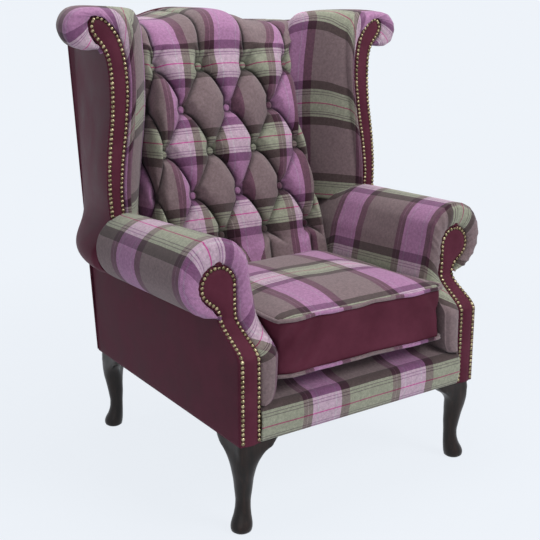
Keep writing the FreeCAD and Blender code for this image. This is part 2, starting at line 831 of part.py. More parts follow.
def cushion_plan(height, inset, draw_in):
    """Rounded rectangle whose sides pull in between its corners."""
    half = cushion_half_width - inset
    front = cushion_front + inset
    rear = cushion_rear - inset
    r = cushion_corner
    k = r * (1 - math.sqrt(0.5))
    middle = (front + rear) / 2

    def at(x, y):
        return V(x, y, height)
    return ring(
        4, at(-half + r, front), (at(0, front + draw_in), at(half - r, front)),
        (at(half - k, front + k), at(half, front + r)),
        (at(half - draw_in, middle), at(half, rear - r)),
        (at(half - k, rear - k), at(half - r, rear)),
        (at(0, rear - draw_in), at(-half + r, rear)),
        (at(-half + k, rear - k), at(-half, rear - r)),
        (at(-half + draw_in, middle), at(-half, front + r)),
        (at(-half + k, front + k), at(-half + r, front)))


def seat_cushion():
    """The loose boxed cushion: crowned top, drawn-in boxing and a flat underside on the deck."""
    drop = cushion_seam_low - deck_height
    boxing = (cushion_seam_low + cushion_seam_high) / 2
    levels = [(deck_height, 2 * drop), (cushion_seam_low, 0.0), (boxing, 3.0), (cushion_seam_high, 0.0)]
    for share, inset in ((0.34, 12.0), (0.62, 36.0), (0.86, 82.0), (1.0, 150.0)):
        levels.append((cushion_seam_high + share * cushion_crown, inset))
    return facets([cushion_plan(height, inset, cushion_draw_in) for height, inset in levels])


def front_border():
    """The covered front rail: a bulging face and a rounded ledge below the cushion."""
    half = front_half_width - facing_width
    y = -border_bulge
    wire = closed_wire(
        V(-half, post_front, leg_height), V(-half, 0, leg_height),
        (V(-half, y, blend(leg_height, ledge_height, 0.45)), V(-half, y * 0.5, ledge_height - 8.0)),
        (V(-half, 4.0, ledge_height - 1.5), V(-half, 14.0, ledge_height)),
        V(-half, border_back, ledge_height), V(-half, border_back, rail_top),
        V(-half, post_front, rail_top))
    return prism(wire, V(2 * half, 0, 0))


def seat_deck():
    """The sprung seat's padded top, which the cushion rests on."""
    half = inner_side(base_depth) - post_width
    front = border_back
    rear = tuft_line(deck_height) + 2 * tuft_depth
    low = rail_top + 2 * strap_thickness
    wire = closed_wire(
        V(-half, front, low), V(-half, front, ledge_height),
        (V(-half, front + 10.0, deck_height - 12.0), V(-half, front + 36.0, deck_height)),
        V(-half, rear, deck_height), V(-half, rear, low))
    return prism(wire, V(2 * half, 0, 0))


def seat_webbing(lengthwise):
    """Straps across the seat frame, front to back or side to side."""
    front = border_back
    rear = rear_line(rail_top) - panel_thickness
    half = inner_side(base_depth) - post_width
    level = rail_top + (0.0 if lengthwise else strap_thickness)
    straps = []
    count = 5
    for k in range(count):
        share = (k + 0.5) / count
        if lengthwise:
            x = blend(-half, half, share)
            straps.append(box((x - strap_width / 2, front, level),
                              (x + strap_width / 2, rear, level + strap_thickness)))
        else:
            y = blend(lean_slot + 20.0, rear - post_depth - 20.0, share)
            reach = inner_side(y) - rail_thickness / 2
            straps.append(box((-reach, y - strap_width / 2, level),
                              (reach, y + strap_width / 2, level + strap_thickness)))
    return Part.makeCompound(straps)


def back_webbing():
    """Straps across the front of the back posts."""
    half = inner_side(base_depth) - post_width / 2
    near = panel_thickness + post_depth
    straps = []
    count = 5
    for k in range(count):
        z = blend(deck_height + 60.0, tuft_top_height - 60.0, k / (count - 1))
        straps.append(back_slab(near, near + strap_thickness, z - strap_width / 2, z + strap_width / 2,
                                half))
    return Part.makeCompound(straps)


def bottom_cover():
    """The thin dust cover under the seat frame."""
    front = post_front
    rear = rear_line(leg_height) - panel_thickness
    return prism(closed_wire(
        V(-inner_side(front), front, leg_height), V(inner_side(front), front, leg_height),
        V(inner_side(rear), rear, leg_height), V(-inner_side(rear), rear, leg_height)),
        V(0, 0, -cover_thickness))


# Assembly


def without(shape, *others):
    for other in others:
        shape = shape.cut(other)
    return shape


def main_solid(shape):
    """The largest solid of a cut piece, without the thin slivers that a cut leaves beside it."""
    return max(shape.Solids, key=lambda solid: solid.Volume)


def build():
    """Every piece by name, on the left and right where it has a twin."""
    parts = {}
    pairs = {}
    feet = {"front": ((front_foot_x, front_foot_inset), (front_knee_x, knee_inset), -1),
            "rear": ((rear_foot_x, base_depth - rear_foot_inset),
                     (rear_knee_x, base_depth - knee_inset), 1)}
    for end, (foot, knee, along) in feet.items():
        pairs[end + "_leg"] = leg(V(foot[0], foot[1], 0), V(knee[0], knee[1], 0), (1, along))

    pairs["arm_post"] = arm_post()
    pairs["side_rail"] = side_rail()
    pairs["back_post"] = back_post()
    pairs["arm_rail"] = arm_rail()
    pairs["wing_post"] = without(wing_post(), pairs["arm_rail"])
    pairs["wing_rail"] = without(wing_rail(), pairs["wing_post"], pairs["back_post"])
    pairs["front_corner_block"] = front_corner_block()
    pairs["rear_corner_block"] = rear_corner_block()
    pairs["arm_facing"] = arm_facing()
    pairs["wing_facing"] = wing_facing()
    wood = [pairs[name] for name in ("arm_post", "arm_rail", "back_post", "wing_post", "wing_rail")]
    arm = without(arm_pad(), *wood, pairs["arm_facing"], pairs["wing_facing"])
    pairs["arm_pad"] = arm
    behind = back_slab(panel_thickness, -400.0, leg_height, 1300.0, 500.0)
    pairs["wing_pad"] = without(wing_pad(), arm, *wood, pairs["wing_facing"], behind)
    pairs["outside_arm"] = without(outside_arm(), arm, *wood)
    outside = without(outside_wing(), arm, pairs["wing_pad"], pairs["wing_facing"],
                      pairs["outside_arm"], *wood, behind)
    pairs["outside_wing"] = main_solid(outside)

    for name, shape in pairs.items():
        parts["right_" + name] = shape
        parts["left_" + name] = mirrored(shape)

    parts["front_seat_rail"] = front_rail()
    parts["rear_seat_rail"] = between_posts(leg_height, rail_top, rail_thickness, 0.0)
    parts["back_low_rail"] = between_posts(deck_height + 10.0, deck_height + 10.0 + tuck_rail_height,
                                           rail_thickness, post_depth - rail_thickness)
    parts["back_top_rail"] = top_rail()
    parts["seat_webbing_lengthwise"] = seat_webbing(True)
    parts["seat_webbing_crosswise"] = seat_webbing(False)
    parts["back_webbing"] = back_webbing()
    arms = [parts["left_arm_pad"], parts["right_arm_pad"]]
    parts["front_border"] = without(front_border(), *arms)
    wings = [parts["left_wing_pad"], parts["right_wing_pad"]]
    posts = [parts["left_back_post"], parts["right_back_post"]]
    parts["seat_deck"] = without(seat_deck(), *arms)
    parts["bottom_cover"] = without(bottom_cover(), *[parts[side + end + "_leg"]
                                                     for side in ("left_", "right_")
                                                     for end in ("front", "rear")])
    parts["inside_back"] = without(inside_back(), *wings, *arms)
    for row in range(button_rows):
        parts["button_row_%d" % (row + 1)] = button_row(row)
    rails = [parts["left_wing_rail"], parts["right_wing_rail"]]
    parts["back_crest_roll"] = without(crest_roll(), parts["back_top_rail"], *posts, *rails, *wings)
    parts["outside_back"] = outside_back()
    parts["seat_cushion"] = seat_cushion()
    return parts


def export(parts):
    """Set the origin at the middle of the footprint on the floor and write each piece."""
    low, high = 1e9, -1e9
    for shape in parts.values():
        depths = [point.y for point in shape.tessellate(0.5)[0]]
        low = min(low, min(depths))
        high = max(high, max(depths))
    shift = -(low + high) / 2
    os.makedirs("parts", exist_ok=True)
    for name, shape in parts.items():
        shape = shape.copy()
        shape.translate(V(0, shift, 0))
        shape.exportStep("parts/%s.step" % name)
    print("moved along Y by %.3f, %d pieces" % (shift, len(parts)))


export(build())
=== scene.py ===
import json
import math
import bmesh
import bpy
import numpy as np
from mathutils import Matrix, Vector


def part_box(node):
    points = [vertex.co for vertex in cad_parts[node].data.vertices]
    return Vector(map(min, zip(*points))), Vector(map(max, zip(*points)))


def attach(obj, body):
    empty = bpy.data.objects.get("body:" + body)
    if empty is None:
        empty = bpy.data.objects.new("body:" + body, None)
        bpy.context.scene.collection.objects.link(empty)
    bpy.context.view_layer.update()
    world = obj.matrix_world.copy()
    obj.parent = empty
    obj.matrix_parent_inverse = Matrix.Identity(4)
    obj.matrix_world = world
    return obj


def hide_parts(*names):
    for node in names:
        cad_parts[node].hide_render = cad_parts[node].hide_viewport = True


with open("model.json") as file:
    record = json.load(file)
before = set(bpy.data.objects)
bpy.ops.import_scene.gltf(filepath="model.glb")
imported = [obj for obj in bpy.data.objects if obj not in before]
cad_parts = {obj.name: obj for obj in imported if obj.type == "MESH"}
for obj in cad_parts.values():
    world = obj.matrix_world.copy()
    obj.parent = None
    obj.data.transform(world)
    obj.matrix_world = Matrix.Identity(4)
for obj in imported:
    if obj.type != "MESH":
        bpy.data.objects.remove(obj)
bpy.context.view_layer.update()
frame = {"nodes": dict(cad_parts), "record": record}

# Sizes are in millimetres, X across, Y back from the front of the facings, Z up from the floor.
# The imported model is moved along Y, so every surface is moved by the same amount as it is made.

front_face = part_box("left_arm_facing")[0][1]
tau = 2 * math.pi

# Driving sizes

leg_height = 212.0
front_half, rear_half = 351.0, 312.0
base_depth = 758.0
back_lean = math.radians(5.05)
back_flare = 12.0
shoulder = 1096.0
hump_height, hump_half, hump_bend = 31.0, 175.0, 105.0
arm_set_back = 80.0
scroll_x, scroll_z = 350.0, 548.0
wing_front = 450.0
front_border_half = 298.0


def metres(points):
    """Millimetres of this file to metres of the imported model: a move along Y and a change of unit."""
    return np.asarray(points, float) / 1000 + np.array([0.0, front_face, 0.0])


def smooth(x, low, high):
    """0 below low, 1 above high and 3t^2 - 2t^3 between."""
    t = np.clip((x - low) / (high - low), 0, 1)
    return t * t * (3 - 2 * t)


def lerp(a, b, t):
    """a + (b - a) t."""
    return a + (b - a) * t


def spline(points, t):
    """Smooth curve through points along axis 0 at parameters t, from 0 to the last index.

    Each span is the cubic through its two ends whose slopes are half the chord of the neighbours.
    """
    points = np.asarray(points, float)
    last = len(points) - 1
    i = np.clip(np.floor(t).astype(int), 0, last - 1)
    s = (t - i).reshape((-1,) + (1,) * (points.ndim - 1))
    p0, p1 = points[np.maximum(i - 1, 0)], points[i]
    p2, p3 = points[i + 1], points[np.minimum(i + 2, last)]
    return (p1 + 0.5 * s * (p2 - p0) + s * s * (p0 - 2.5 * p1 + 2 * p2 - 0.5 * p3)
            + s ** 3 * (-0.5 * p0 + 1.5 * p1 - 1.5 * p2 + 0.5 * p3))


def even(points, count):
    """A polyline resampled at equal lengths."""
    points = np.asarray(points, float)
    run = np.r_[0, np.cumsum(np.linalg.norm(np.diff(points, axis=0), axis=1))]
    at = np.linspace(0, run[-1], count)
    return np.stack([np.interp(at, run, points[:, k]) for k in range(points.shape[1])], 1)


def curve(points, count):
    """A smooth curve through a few points, as count points at equal lengths."""
    points = np.asarray(points, float)
    dense = spline(points, np.linspace(0, len(points) - 1, 24 * len(points)))
    return even(dense, count)


def lengths(points, axis):
    """Running length along an axis of a grid of points, starting from 0."""
    step = np.linalg.norm(np.diff(points, axis=axis), axis=-1)
    pad = [(0, 0)] * step.ndim
    pad[axis] = (1, 0)
    return np.pad(np.cumsum(step, axis=axis), pad)


# Meshes


def piece(name, points, faces, material, uv=None, slot="tartan", nodes=(), body="chair"):
    """A mesh piece from points in millimetres and faces, with a cloth map in metres if given."""
    mesh = bpy.data.meshes.new(name)
    mesh.from_pydata(metres(points).tolist(), [], faces.tolist() if isinstance(faces, np.ndarray) else faces)
    if uv is not None:
        layer = mesh.uv_layers.new(name="cloth")
        layer.data.foreach_set("uv", (np.asarray(uv) / 1000).astype(np.float32).ravel())
    mesh.polygons.foreach_set("use_smooth", [True] * len(mesh.polygons))
    mesh.materials.append(material)
    mesh.update()
    thing = bpy.data.objects.new(name, mesh)
    bpy.context.scene.collection.objects.link(thing)
    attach(thing, body)
    if nodes:
        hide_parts(*nodes)
    return thing


def grid_faces(rows, cols, wrap=False):
    """Quads over a grid of points; wrap joins the last column to the first."""
    i, j = np.meshgrid(np.arange(rows - 1), np.arange(cols if wrap else cols - 1), indexing="ij")
    i, j = i.ravel(), j.ravel()
    k = (j + 1) % cols
    return np.stack([i * cols + j, i * cols + k, (i + 1) * cols + k, (i + 1) * cols + j], 1)


def sheet_piece(name, points, cloth, material, thickness, inside, **more):
    """A curved skin from a grid of points, facing away from a point inside, with a wall behind it."""
    rows, cols = points.shape[:2]
    faces = grid_faces(rows, cols)
    corners = points.reshape(-1, 3)[faces]
    normal = np.cross(corners[:, 2] - corners[:, 0], corners[:, 3] - corners[:, 1])
    if np.sum(normal * (corners.mean(1) - np.array(inside))) < 0:
        faces = faces[:, ::-1]
    uv = cloth.reshape(-1, 2)[faces.ravel()] if cloth is not None else None
    thing = piece(name, points.reshape(-1, 3), faces, material, uv, **more)
    wall = thing.modifiers.new("wall", "SOLIDIFY")
    wall.thickness = thickness / 1000
    wall.offset = -1
    return thing


def tube(path, radius, sides=8, closed=True):
    """Grid of points round a path: circles across it, standing on its tangent and a steady side."""
    path = np.asarray(path, float)
    ahead = np.roll(path, -1, 0) - np.roll(path, 1, 0)
    if not closed:
        ahead[0], ahead[-1] = path[1] - path[0], path[-1] - path[-2]
    ahead /= np.linalg.norm(ahead, axis=1)[:, None]
    steady = np.where(np.abs(ahead[:, 2:3]) > 0.9, [[0.0, 1.0, 0.0]], [[0.0, 0.0, 1.0]])
    side = np.cross(ahead, steady)
    side /= np.linalg.norm(side, axis=1)[:, None]
    over = np.cross(side, ahead)
    a = np.arange(sides) * tau / sides
    return path[:, None] + radius * (np.cos(a)[None, :, None] * side[:, None]
                                     + np.sin(a)[None, :, None] * over[:, None])


def welt(name, path, radius, material, closed=True, cloth=None, **more):
    """Piping: a round cord in its cover, along a path."""
    ring = tube(path, radius, closed=closed)
    rows, cols = ring.shape[:2]
    points = ring.reshape(-1, 3)
    if closed:
        faces = grid_faces(rows + 1, cols, True) % (rows * cols)
    else:
        faces = grid_faces(rows, cols, True)
    run = lengths(np.asarray(path, float), 0)
    u, v = cloth if cloth else (run, np.zeros(rows))
    flat = np.stack([np.repeat(u, cols), np.repeat(v, cols)], 1)
    thing = piece(name, points, faces, material, flat[faces.ravel()], **more)
    if not closed:
        join(thing.data, [range(cols), range((rows - 1) * cols, rows * cols)])
    return thing


def join(mesh, loops):
    """Closes holes of a mesh with the given loops of vertices, and turns every face outwards."""
    work = bmesh.new()
    work.from_mesh(mesh)
    work.verts.ensure_lookup_table()
    for loop in loops:
        work.faces.new([work.verts[k] for k in loop])
    bmesh.ops.recalc_face_normals(work, faces=work.faces)
    work.to_mesh(mesh)
    work.free()


# Materials


def shader(name, roughness, **sockets):
    """A new material with its nodes, its main shader and a few of that shader's own values."""
    material = bpy.data.materials.new(name)
    material.use_nodes = True
    nodes = material.node_tree.nodes
    main = nodes["Principled BSDF"]
    main.inputs["Roughness"].default_value = roughness
    for key, value in sockets.items():
        main.inputs[key.replace("_", " ")].default_value = value
    return material, nodes, main


def feed(source, target):
    """Joins a socket, or a node's first output, to an input."""
    target.id_data.links.new(source.outputs[0] if hasattr(source, "outputs") else source, target)


def node(nodes, kind, *sources, **values):
    """A node of a kind, with its settings by name and its inputs' values by number, as in_0.

    Sources are fed to its first inputs in turn, and None leaves an input as it is.
    """
    made = nodes.new("ShaderNode" + kind)
    for key, value in values.items():
        if key.startswith("in_"):
            made.inputs[int(key[3:])].default_value = value
        else:
            setattr(made, key, value)
    for source, target in zip(sources, made.inputs):
        if source is not None:
            feed(source, target)
    return made


def own_place(nodes):
    """The socket that gives a point's place on its own object."""
    return node(nodes, "TexCoord").outputs["Object"]


def ramp(nodes, source, stops, steps=False):
    """A colour ramp over a source; with steps each colour runs to the next stop."""
    made = node(nodes, "ValToRGB", source)
    made.color_ramp.interpolation = "CONSTANT" if steps else "LINEAR"
    elements = made.color_ramp.elements
    while len(elements) < len(stops):
        elements.new(0.5)
    for element, (place, colour) in zip(elements, stops):
        element.position = place
        element.color = (*colour, 1)
    return made


def surface(main, look, height=None, strength=0.0, distance=0.0):
    """A colour, raised to the power 2.2, to the base colour, and a height to the normal by a bump."""
    nodes = main.id_data.nodes
    feed(node(nodes, "Gamma", look, in_1=2.2), main.inputs["Base Color"])
    if height is not None:
        bump = node(nodes, "Bump", in_0=strength, in_1=distance)
        feed(height, bump.inputs["Height"])
        feed(bump, main.inputs["Normal"])


def rgb(*values):
    """A colour from values up to 255."""
    return tuple(v / 255 for v in values)


# The check, in millimetres of cloth: the warp's bands by U and the weft's by V

warp_repeat = 264.0
weft_repeat = 255.0
brown_edge = 25.0
pink_band = 82.0
sage_half = 37.5
dark_band = 23.0
taupe, pink, plum = rgb(122, 104, 106), rgb(202, 128, 198), rgb(80, 34, 62)
dark, sage, crimson = rgb(36, 28, 24), rgb(166, 188, 150), rgb(172, 34, 88)
pin, deep_plum, pale_pink = rgb(92, 98, 84), rgb(120, 72, 104), rgb(200, 150, 206)
pin_width = 2.2


def stripes(repeat, bands):
    """Stops of a stepped ramp from (start in millimetres, colour) bands of a repeat."""
    return [(start / repeat, colour) for start, colour in bands]


def cloth_material():
    """Wool in a tartan check: the warp's colours by U and the weft's by V, woven together.

    Both are looked up in stepped ramps over their repeats and mixed by a fine twill. Fibres
    lighten and darken the mix, and painted shade darkens it along the folds of the pleats and
    round the buttons. The height is half the twill's and the fibres'.
    """
    material, nodes, main = shader("tartan_wool", 0.92, Sheen_Weight=0.18, Sheen_Roughness=0.6,
                                   Specular_IOR_Level=0.12)
    cloth = node(nodes, "UVMap", uv_map="cloth")
    split = node(nodes, "SeparateXYZ", cloth)
    place = own_place(nodes)
    wander = node(nodes, "TexNoise", place, in_2=14.0, in_3=2.0)
    uneven = node(nodes, "Math", wander, operation="MULTIPLY_ADD", in_1=0.006, in_2=-0.003)
    middle = weft_repeat / 2
    weft = [(0, taupe), (middle - sage_half - dark_band, dark), (middle - sage_half, sage)]
    for line in (-31.0, -24.5):
        weft += [(middle + line, pin), (middle + line + pin_width, sage)]
    weft += [(middle - 1.4, crimson), (middle + 1.4, sage)]
    for line in (22.5, 29.0):
        weft += [(middle + line, pin), (middle + line + pin_width, sage)]
    weft += [(middle + sage_half, dark), (middle + sage_half + dark_band, taupe)]
    pink_end = brown_edge + pink_band
    warp = [(0, plum), (11.0, deep_plum), (13.0, plum), (brown_edge, pink),
            (brown_edge + 14.0, pale_pink), (brown_edge + 17.0, pink),
            (pink_end - 17.0, pale_pink), (pink_end - 14.0, pink),
            (pink_end, plum), (pink_end + brown_edge, taupe)]
    colours = []
    for axis, repeat, offset, bands in (("X", warp_repeat, 0.0, warp), ("Y", weft_repeat, 0.5, weft)):
        share = node(nodes, "Math", split.outputs[axis], operation="MULTIPLY_ADD",
                     in_1=1000 / repeat, in_2=offset)
        added = node(nodes, "Math", share, uneven, operation="ADD")
        fraction = node(nodes, "Math", added, operation="FRACT")
        colours.append(ramp(nodes, fraction, stripes(repeat, bands), True))
    twill = node(nodes, "TexWave", cloth, wave_type="BANDS", bands_direction="DIAGONAL",
                 in_1=180.0, in_2=1.5, in_3=2.0, in_4=1.0).outputs["Fac"]
    weave = node(nodes, "MapRange", twill, in_3=0.40, in_4=0.60)
    mixed = node(nodes, "Mix", weave, data_type="RGBA")
    feed(colours[0], mixed.inputs[6])
    feed(colours[1], mixed.inputs[7])
    fibre = node(nodes, "TexNoise", place, in_2=900.0, in_3=3.0, in_4=0.7)
    heather = node(nodes, "TexNoise", place, in_2=160.0, in_3=2.0, in_4=0.6)
    both = node(nodes, "Math", fibre, heather, operation="ADD")
    shade = node(nodes, "MapRange", both, in_1=0.6, in_2=1.4, in_3=0.84, in_4=1.16)
    # Painted shade: the attribute from the buttoned back darkens the cloth, down to about a third, along the
    # folds and round the buttons.
    pleat_shade = node(nodes, "Attribute", attribute_name="pleat_shade").outputs["Fac"]
    painted_pleat_shade = node(nodes, "MapRange", pleat_shade, in_3=1.0, in_4=0.34)
    tone = node(nodes, "Math", shade, painted_pleat_shade, operation="MULTIPLY")
    scaled = node(nodes, "VectorMath", mixed.outputs[2], operation="SCALE")
    feed(tone, scaled.inputs[3])
    height = node(nodes, "Math", twill, None, fibre, operation="MULTIPLY_ADD", in_1=0.5)
    surface(main, scaled, height, 0.25, 0.0006)
    return material


def hide_material(name, light, deep, grain=420.0, roughness=0.48):
    """Leather: two tones mottled together, with a cell grain and soft creases in the height."""
    material, nodes, main = shader(name, roughness, Specular_IOR_Level=0.04)
    place = own_place(nodes)
    mottle = node(nodes, "TexNoise", place, in_2=9.0, in_3=5.0, in_4=0.62)
    cells = node(nodes, "TexVoronoi", place, feature="DISTANCE_TO_EDGE", in_2=grain)
    crease = node(nodes, "TexNoise", place, in_2=38.0, in_3=4.0)
    height = node(nodes, "Math", cells, None, crease, operation="MULTIPLY_ADD", in_1=0.8)
    surface(main, ramp(nodes, mottle, [(0.3, deep), (0.7, light)]), height, 0.22, 0.0010)
    gloss = node(nodes, "MapRange", mottle, in_1=0.3, in_2=0.7, in_3=roughness - 0.07, in_4=roughness + 0.09)
    feed(gloss, main.inputs["Roughness"])
    return material


def grained_wood(name, light, deep, roughness, stretch=(1.0, 1.0, 0.12), coat=0.0):
    """Wood: a noise drawn out along the grain between two tones, and the same in the height."""
    material, nodes, main = shader(name, roughness, Coat_Weight=coat, Coat_Roughness=0.25,
                                   Specular_IOR_Level=0.28)
    along = node(nodes, "Mapping", own_place(nodes))
    along.inputs["Scale"].default_value = stretch
    grain = node(nodes, "TexNoise", along, in_2=95.0, in_3=6.0, in_4=0.65)
    surface(main, ramp(nodes, grain, [(0.34, deep), (0.68, light)]), grain, 0.08, 0.0006)
    return material


def plain_weave(name, light, deep, scale):
    """Coarse cloth: crossing threads from two waves over the object, between two tones."""
    material, nodes, main = shader(name, 0.95)
    place = own_place(nodes)
    waves = [node(nodes, "TexWave", place, bands_direction=axis, in_1=scale, in_2=2.0) for axis in "XY"]
    both = node(nodes, "Math", *[wave.outputs["Fac"] for wave in waves], operation="MULTIPLY")
    surface(main, ramp(nodes, both, [(0.1, deep), (0.9, light)]), both, 0.3, 0.0008)
    return material


def nail_material():
    """Antique brass: domes rubbed bright where the noise is high and dark where it is low."""
    material, nodes, main = shader("antique_nail", 0.28, Metallic=1.0)
    wear = node(nodes, "TexNoise", own_place(nodes), in_2=120.0, in_3=3.0)
    surface(main, ramp(nodes, wear, [(0.25, rgb(70, 60, 44)), (0.7, rgb(186, 172, 138))]))
    return material


tartan = cloth_material()
leather = hide_material("plum_leather", rgb(98, 52, 66), rgb(80, 40, 52))
dark_wood = grained_wood("dark_mahogany", rgb(46, 33, 28), rgb(22, 15, 12), 0.34, coat=0.05)
raw_wood = grained_wood("sawn_beech", rgb(202, 172, 130), rgb(168, 136, 96), 0.8, (0.2, 1.0, 1.0))
strap_cloth = plain_weave("jute_strap", rgb(190, 172, 136), rgb(128, 110, 78), 160.0)
lining = plain_weave("black_lining", rgb(34, 33, 36), rgb(14, 14, 16), 220.0)
brass = nail_material()

finish_of = {"frame_wood": raw_wood, "legs": dark_wood, "webbing": strap_cloth, "lining": lining,
             "leather": leather, "tartan": tartan}
slot_of = {row["node"]: row["material_slot"] for row in frame["record"]["subparts"]}
for name, thing in frame["nodes"].items():
    for material_slot in thing.material_slots:
        material_slot.material = finish_of[slot_of[name]]

# Deep-buttoned back: puffs between the buttons, then pleats over the top roll

button_pitch = 137.0
row_drop = 106.75
top_row = 976.0
row_depth = 605.0
rake = math.radians(13.2)
puff = 39.0
soft_valley = 9.0
deep_fold = 0.0
fold_bow = 0.085
fold_line = 2.6
cloth_centre = 321.0
cloth_per_button = 217.0
cloth_per_row = 139.5


def hump(x):
    """Height of the camel hump above the shoulders: a dome that runs out into two hollows."""
    x = np.abs(x)
    hollow = hump_half - hump_bend
    fall = hump_height * hollow / hump_half
    dome = hump_height - (hump_height - fall) * (x / hump_bend) ** 2
    foot = fall * ((hump_half - x) / hollow) ** 2
    return np.where(x > hump_half, 0.0, np.where(x > hump_bend, foot, dome))


def rear_line(z):
    """Depth of the back's outside at a height: a straight line that leans back."""
    return base_depth + (z - leg_height) * math.tan(back_lean)


def tuft_line(z):
    """Depth of the plane that the buttons sit in, which leans back at the rake."""
    return row_depth + (z - top_row) * math.tan(rake)


def arch(t, power=2.3, round_off=0.62):
    """Section of a puff across its width: (1 - |t|^power)^round_off."""
    return np.clip(1 - np.abs(t) ** power, 0, 1) ** round_off


def buttoned_height(x, q):
    """Height of the cloth above the buttons' plane, and the cloth's own place at each point.

    p and q count button places across and down. Turned 45 degrees they split the back into
    diamonds with a button at each corner. From its crown a diamond falls by an arch to a soft
    valley on the sides that run down to the left, and to a deep fold on the sides that run down
    to the right, which bow upwards. Above the top row the diamonds turn into upright channels
    between pleats. Each diamond shows its own part of the cloth. The last result is painted shade:
    1 along the folds and round the buttons, where cloth meets cloth, falling to 0 within a few mm.
    """
    p = x / (button_pitch / 2) + 1
    a, b = (p + q) / 2, (p - q) / 2
    ca = np.floor(a) + 0.5
    s = 2 * (a - ca)
    bowed = b - fold_bow * (1 - s * s)
    cb = np.floor(bowed) + 0.5
    t = 2 * (bowed - cb)
    corner_a, corner_b = np.round(a), np.round(b)
    row = corner_a - corner_b
    near = np.hypot((p - corner_a - corner_b) * button_pitch / 2, (q - row) * row_drop)
    held = (row > -0.5) & (row < 4.5)
    valley = (puff - soft_valley) * (1 - arch(s, 2.1, 0.6))
    fold = (puff - deep_fold) * (1 - arch(t + 0.12 * (1 - t * t), 3.4, 0.5))
    diamonds = np.maximum(puff - np.hypot(valley, fold) - 0.25 * np.minimum(valley, fold), 3.0)
    c = np.floor(p / 2) * 2 + 1
    share = p - c
    up = smooth(-q, 0.0, 1.8)
    low = puff - lerp(27.0, 15.0, up)
    channels = low + (puff - low) * arch(share, lerp(3.5, 7.0, up), 0.5)
    above = np.maximum(smooth(-q, 0.02, 0.5), smooth(q, 4.05, 4.5))
    height = lerp(diamonds, channels, above)
    height = np.where(held, height * smooth(near, 4.0, 32.0) ** 0.8, height)
    cx, cq = (ca + cb - 1) * button_pitch / 2, ca - cb
    u = cloth_centre + cloth_per_button * cx / button_pitch + (x - cx) * 1.05
    v = cloth_per_row * cq + (q - cq) * row_drop * 1.06
    lane = (c - 1) / 2
    fan = smooth(-q, 0.3, 1.6)
    above_u = lerp(cloth_centre, cloth_centre - 15.0, fan) + x + lerp(80.0, 62.0, fan) * lane
    # Painted shade: these bells mark the deep folds, the soft valleys, the channel pleats and the rims round
    # the buttons, where the cloth's colour is darkened.
    line = np.exp(-((1 - np.abs(t)) * 58.0 / fold_line) ** 2)
    line = np.maximum(line, 0.30 * np.exp(-((1 - np.abs(s)) * 58.0 / 5.0) ** 2))
    run = np.exp(-((1 - np.abs(share)) * 68.5 / fold_line) ** 2)
    pleat_shade = np.maximum(lerp(line, run, above), 0.8 * held * np.exp(-((near - 9.0) / 6.0) ** 2))
    return height, np.where(q < 0, above_u, u), np.where(q < 0, q * row_drop * 1.02, v), pleat_shade


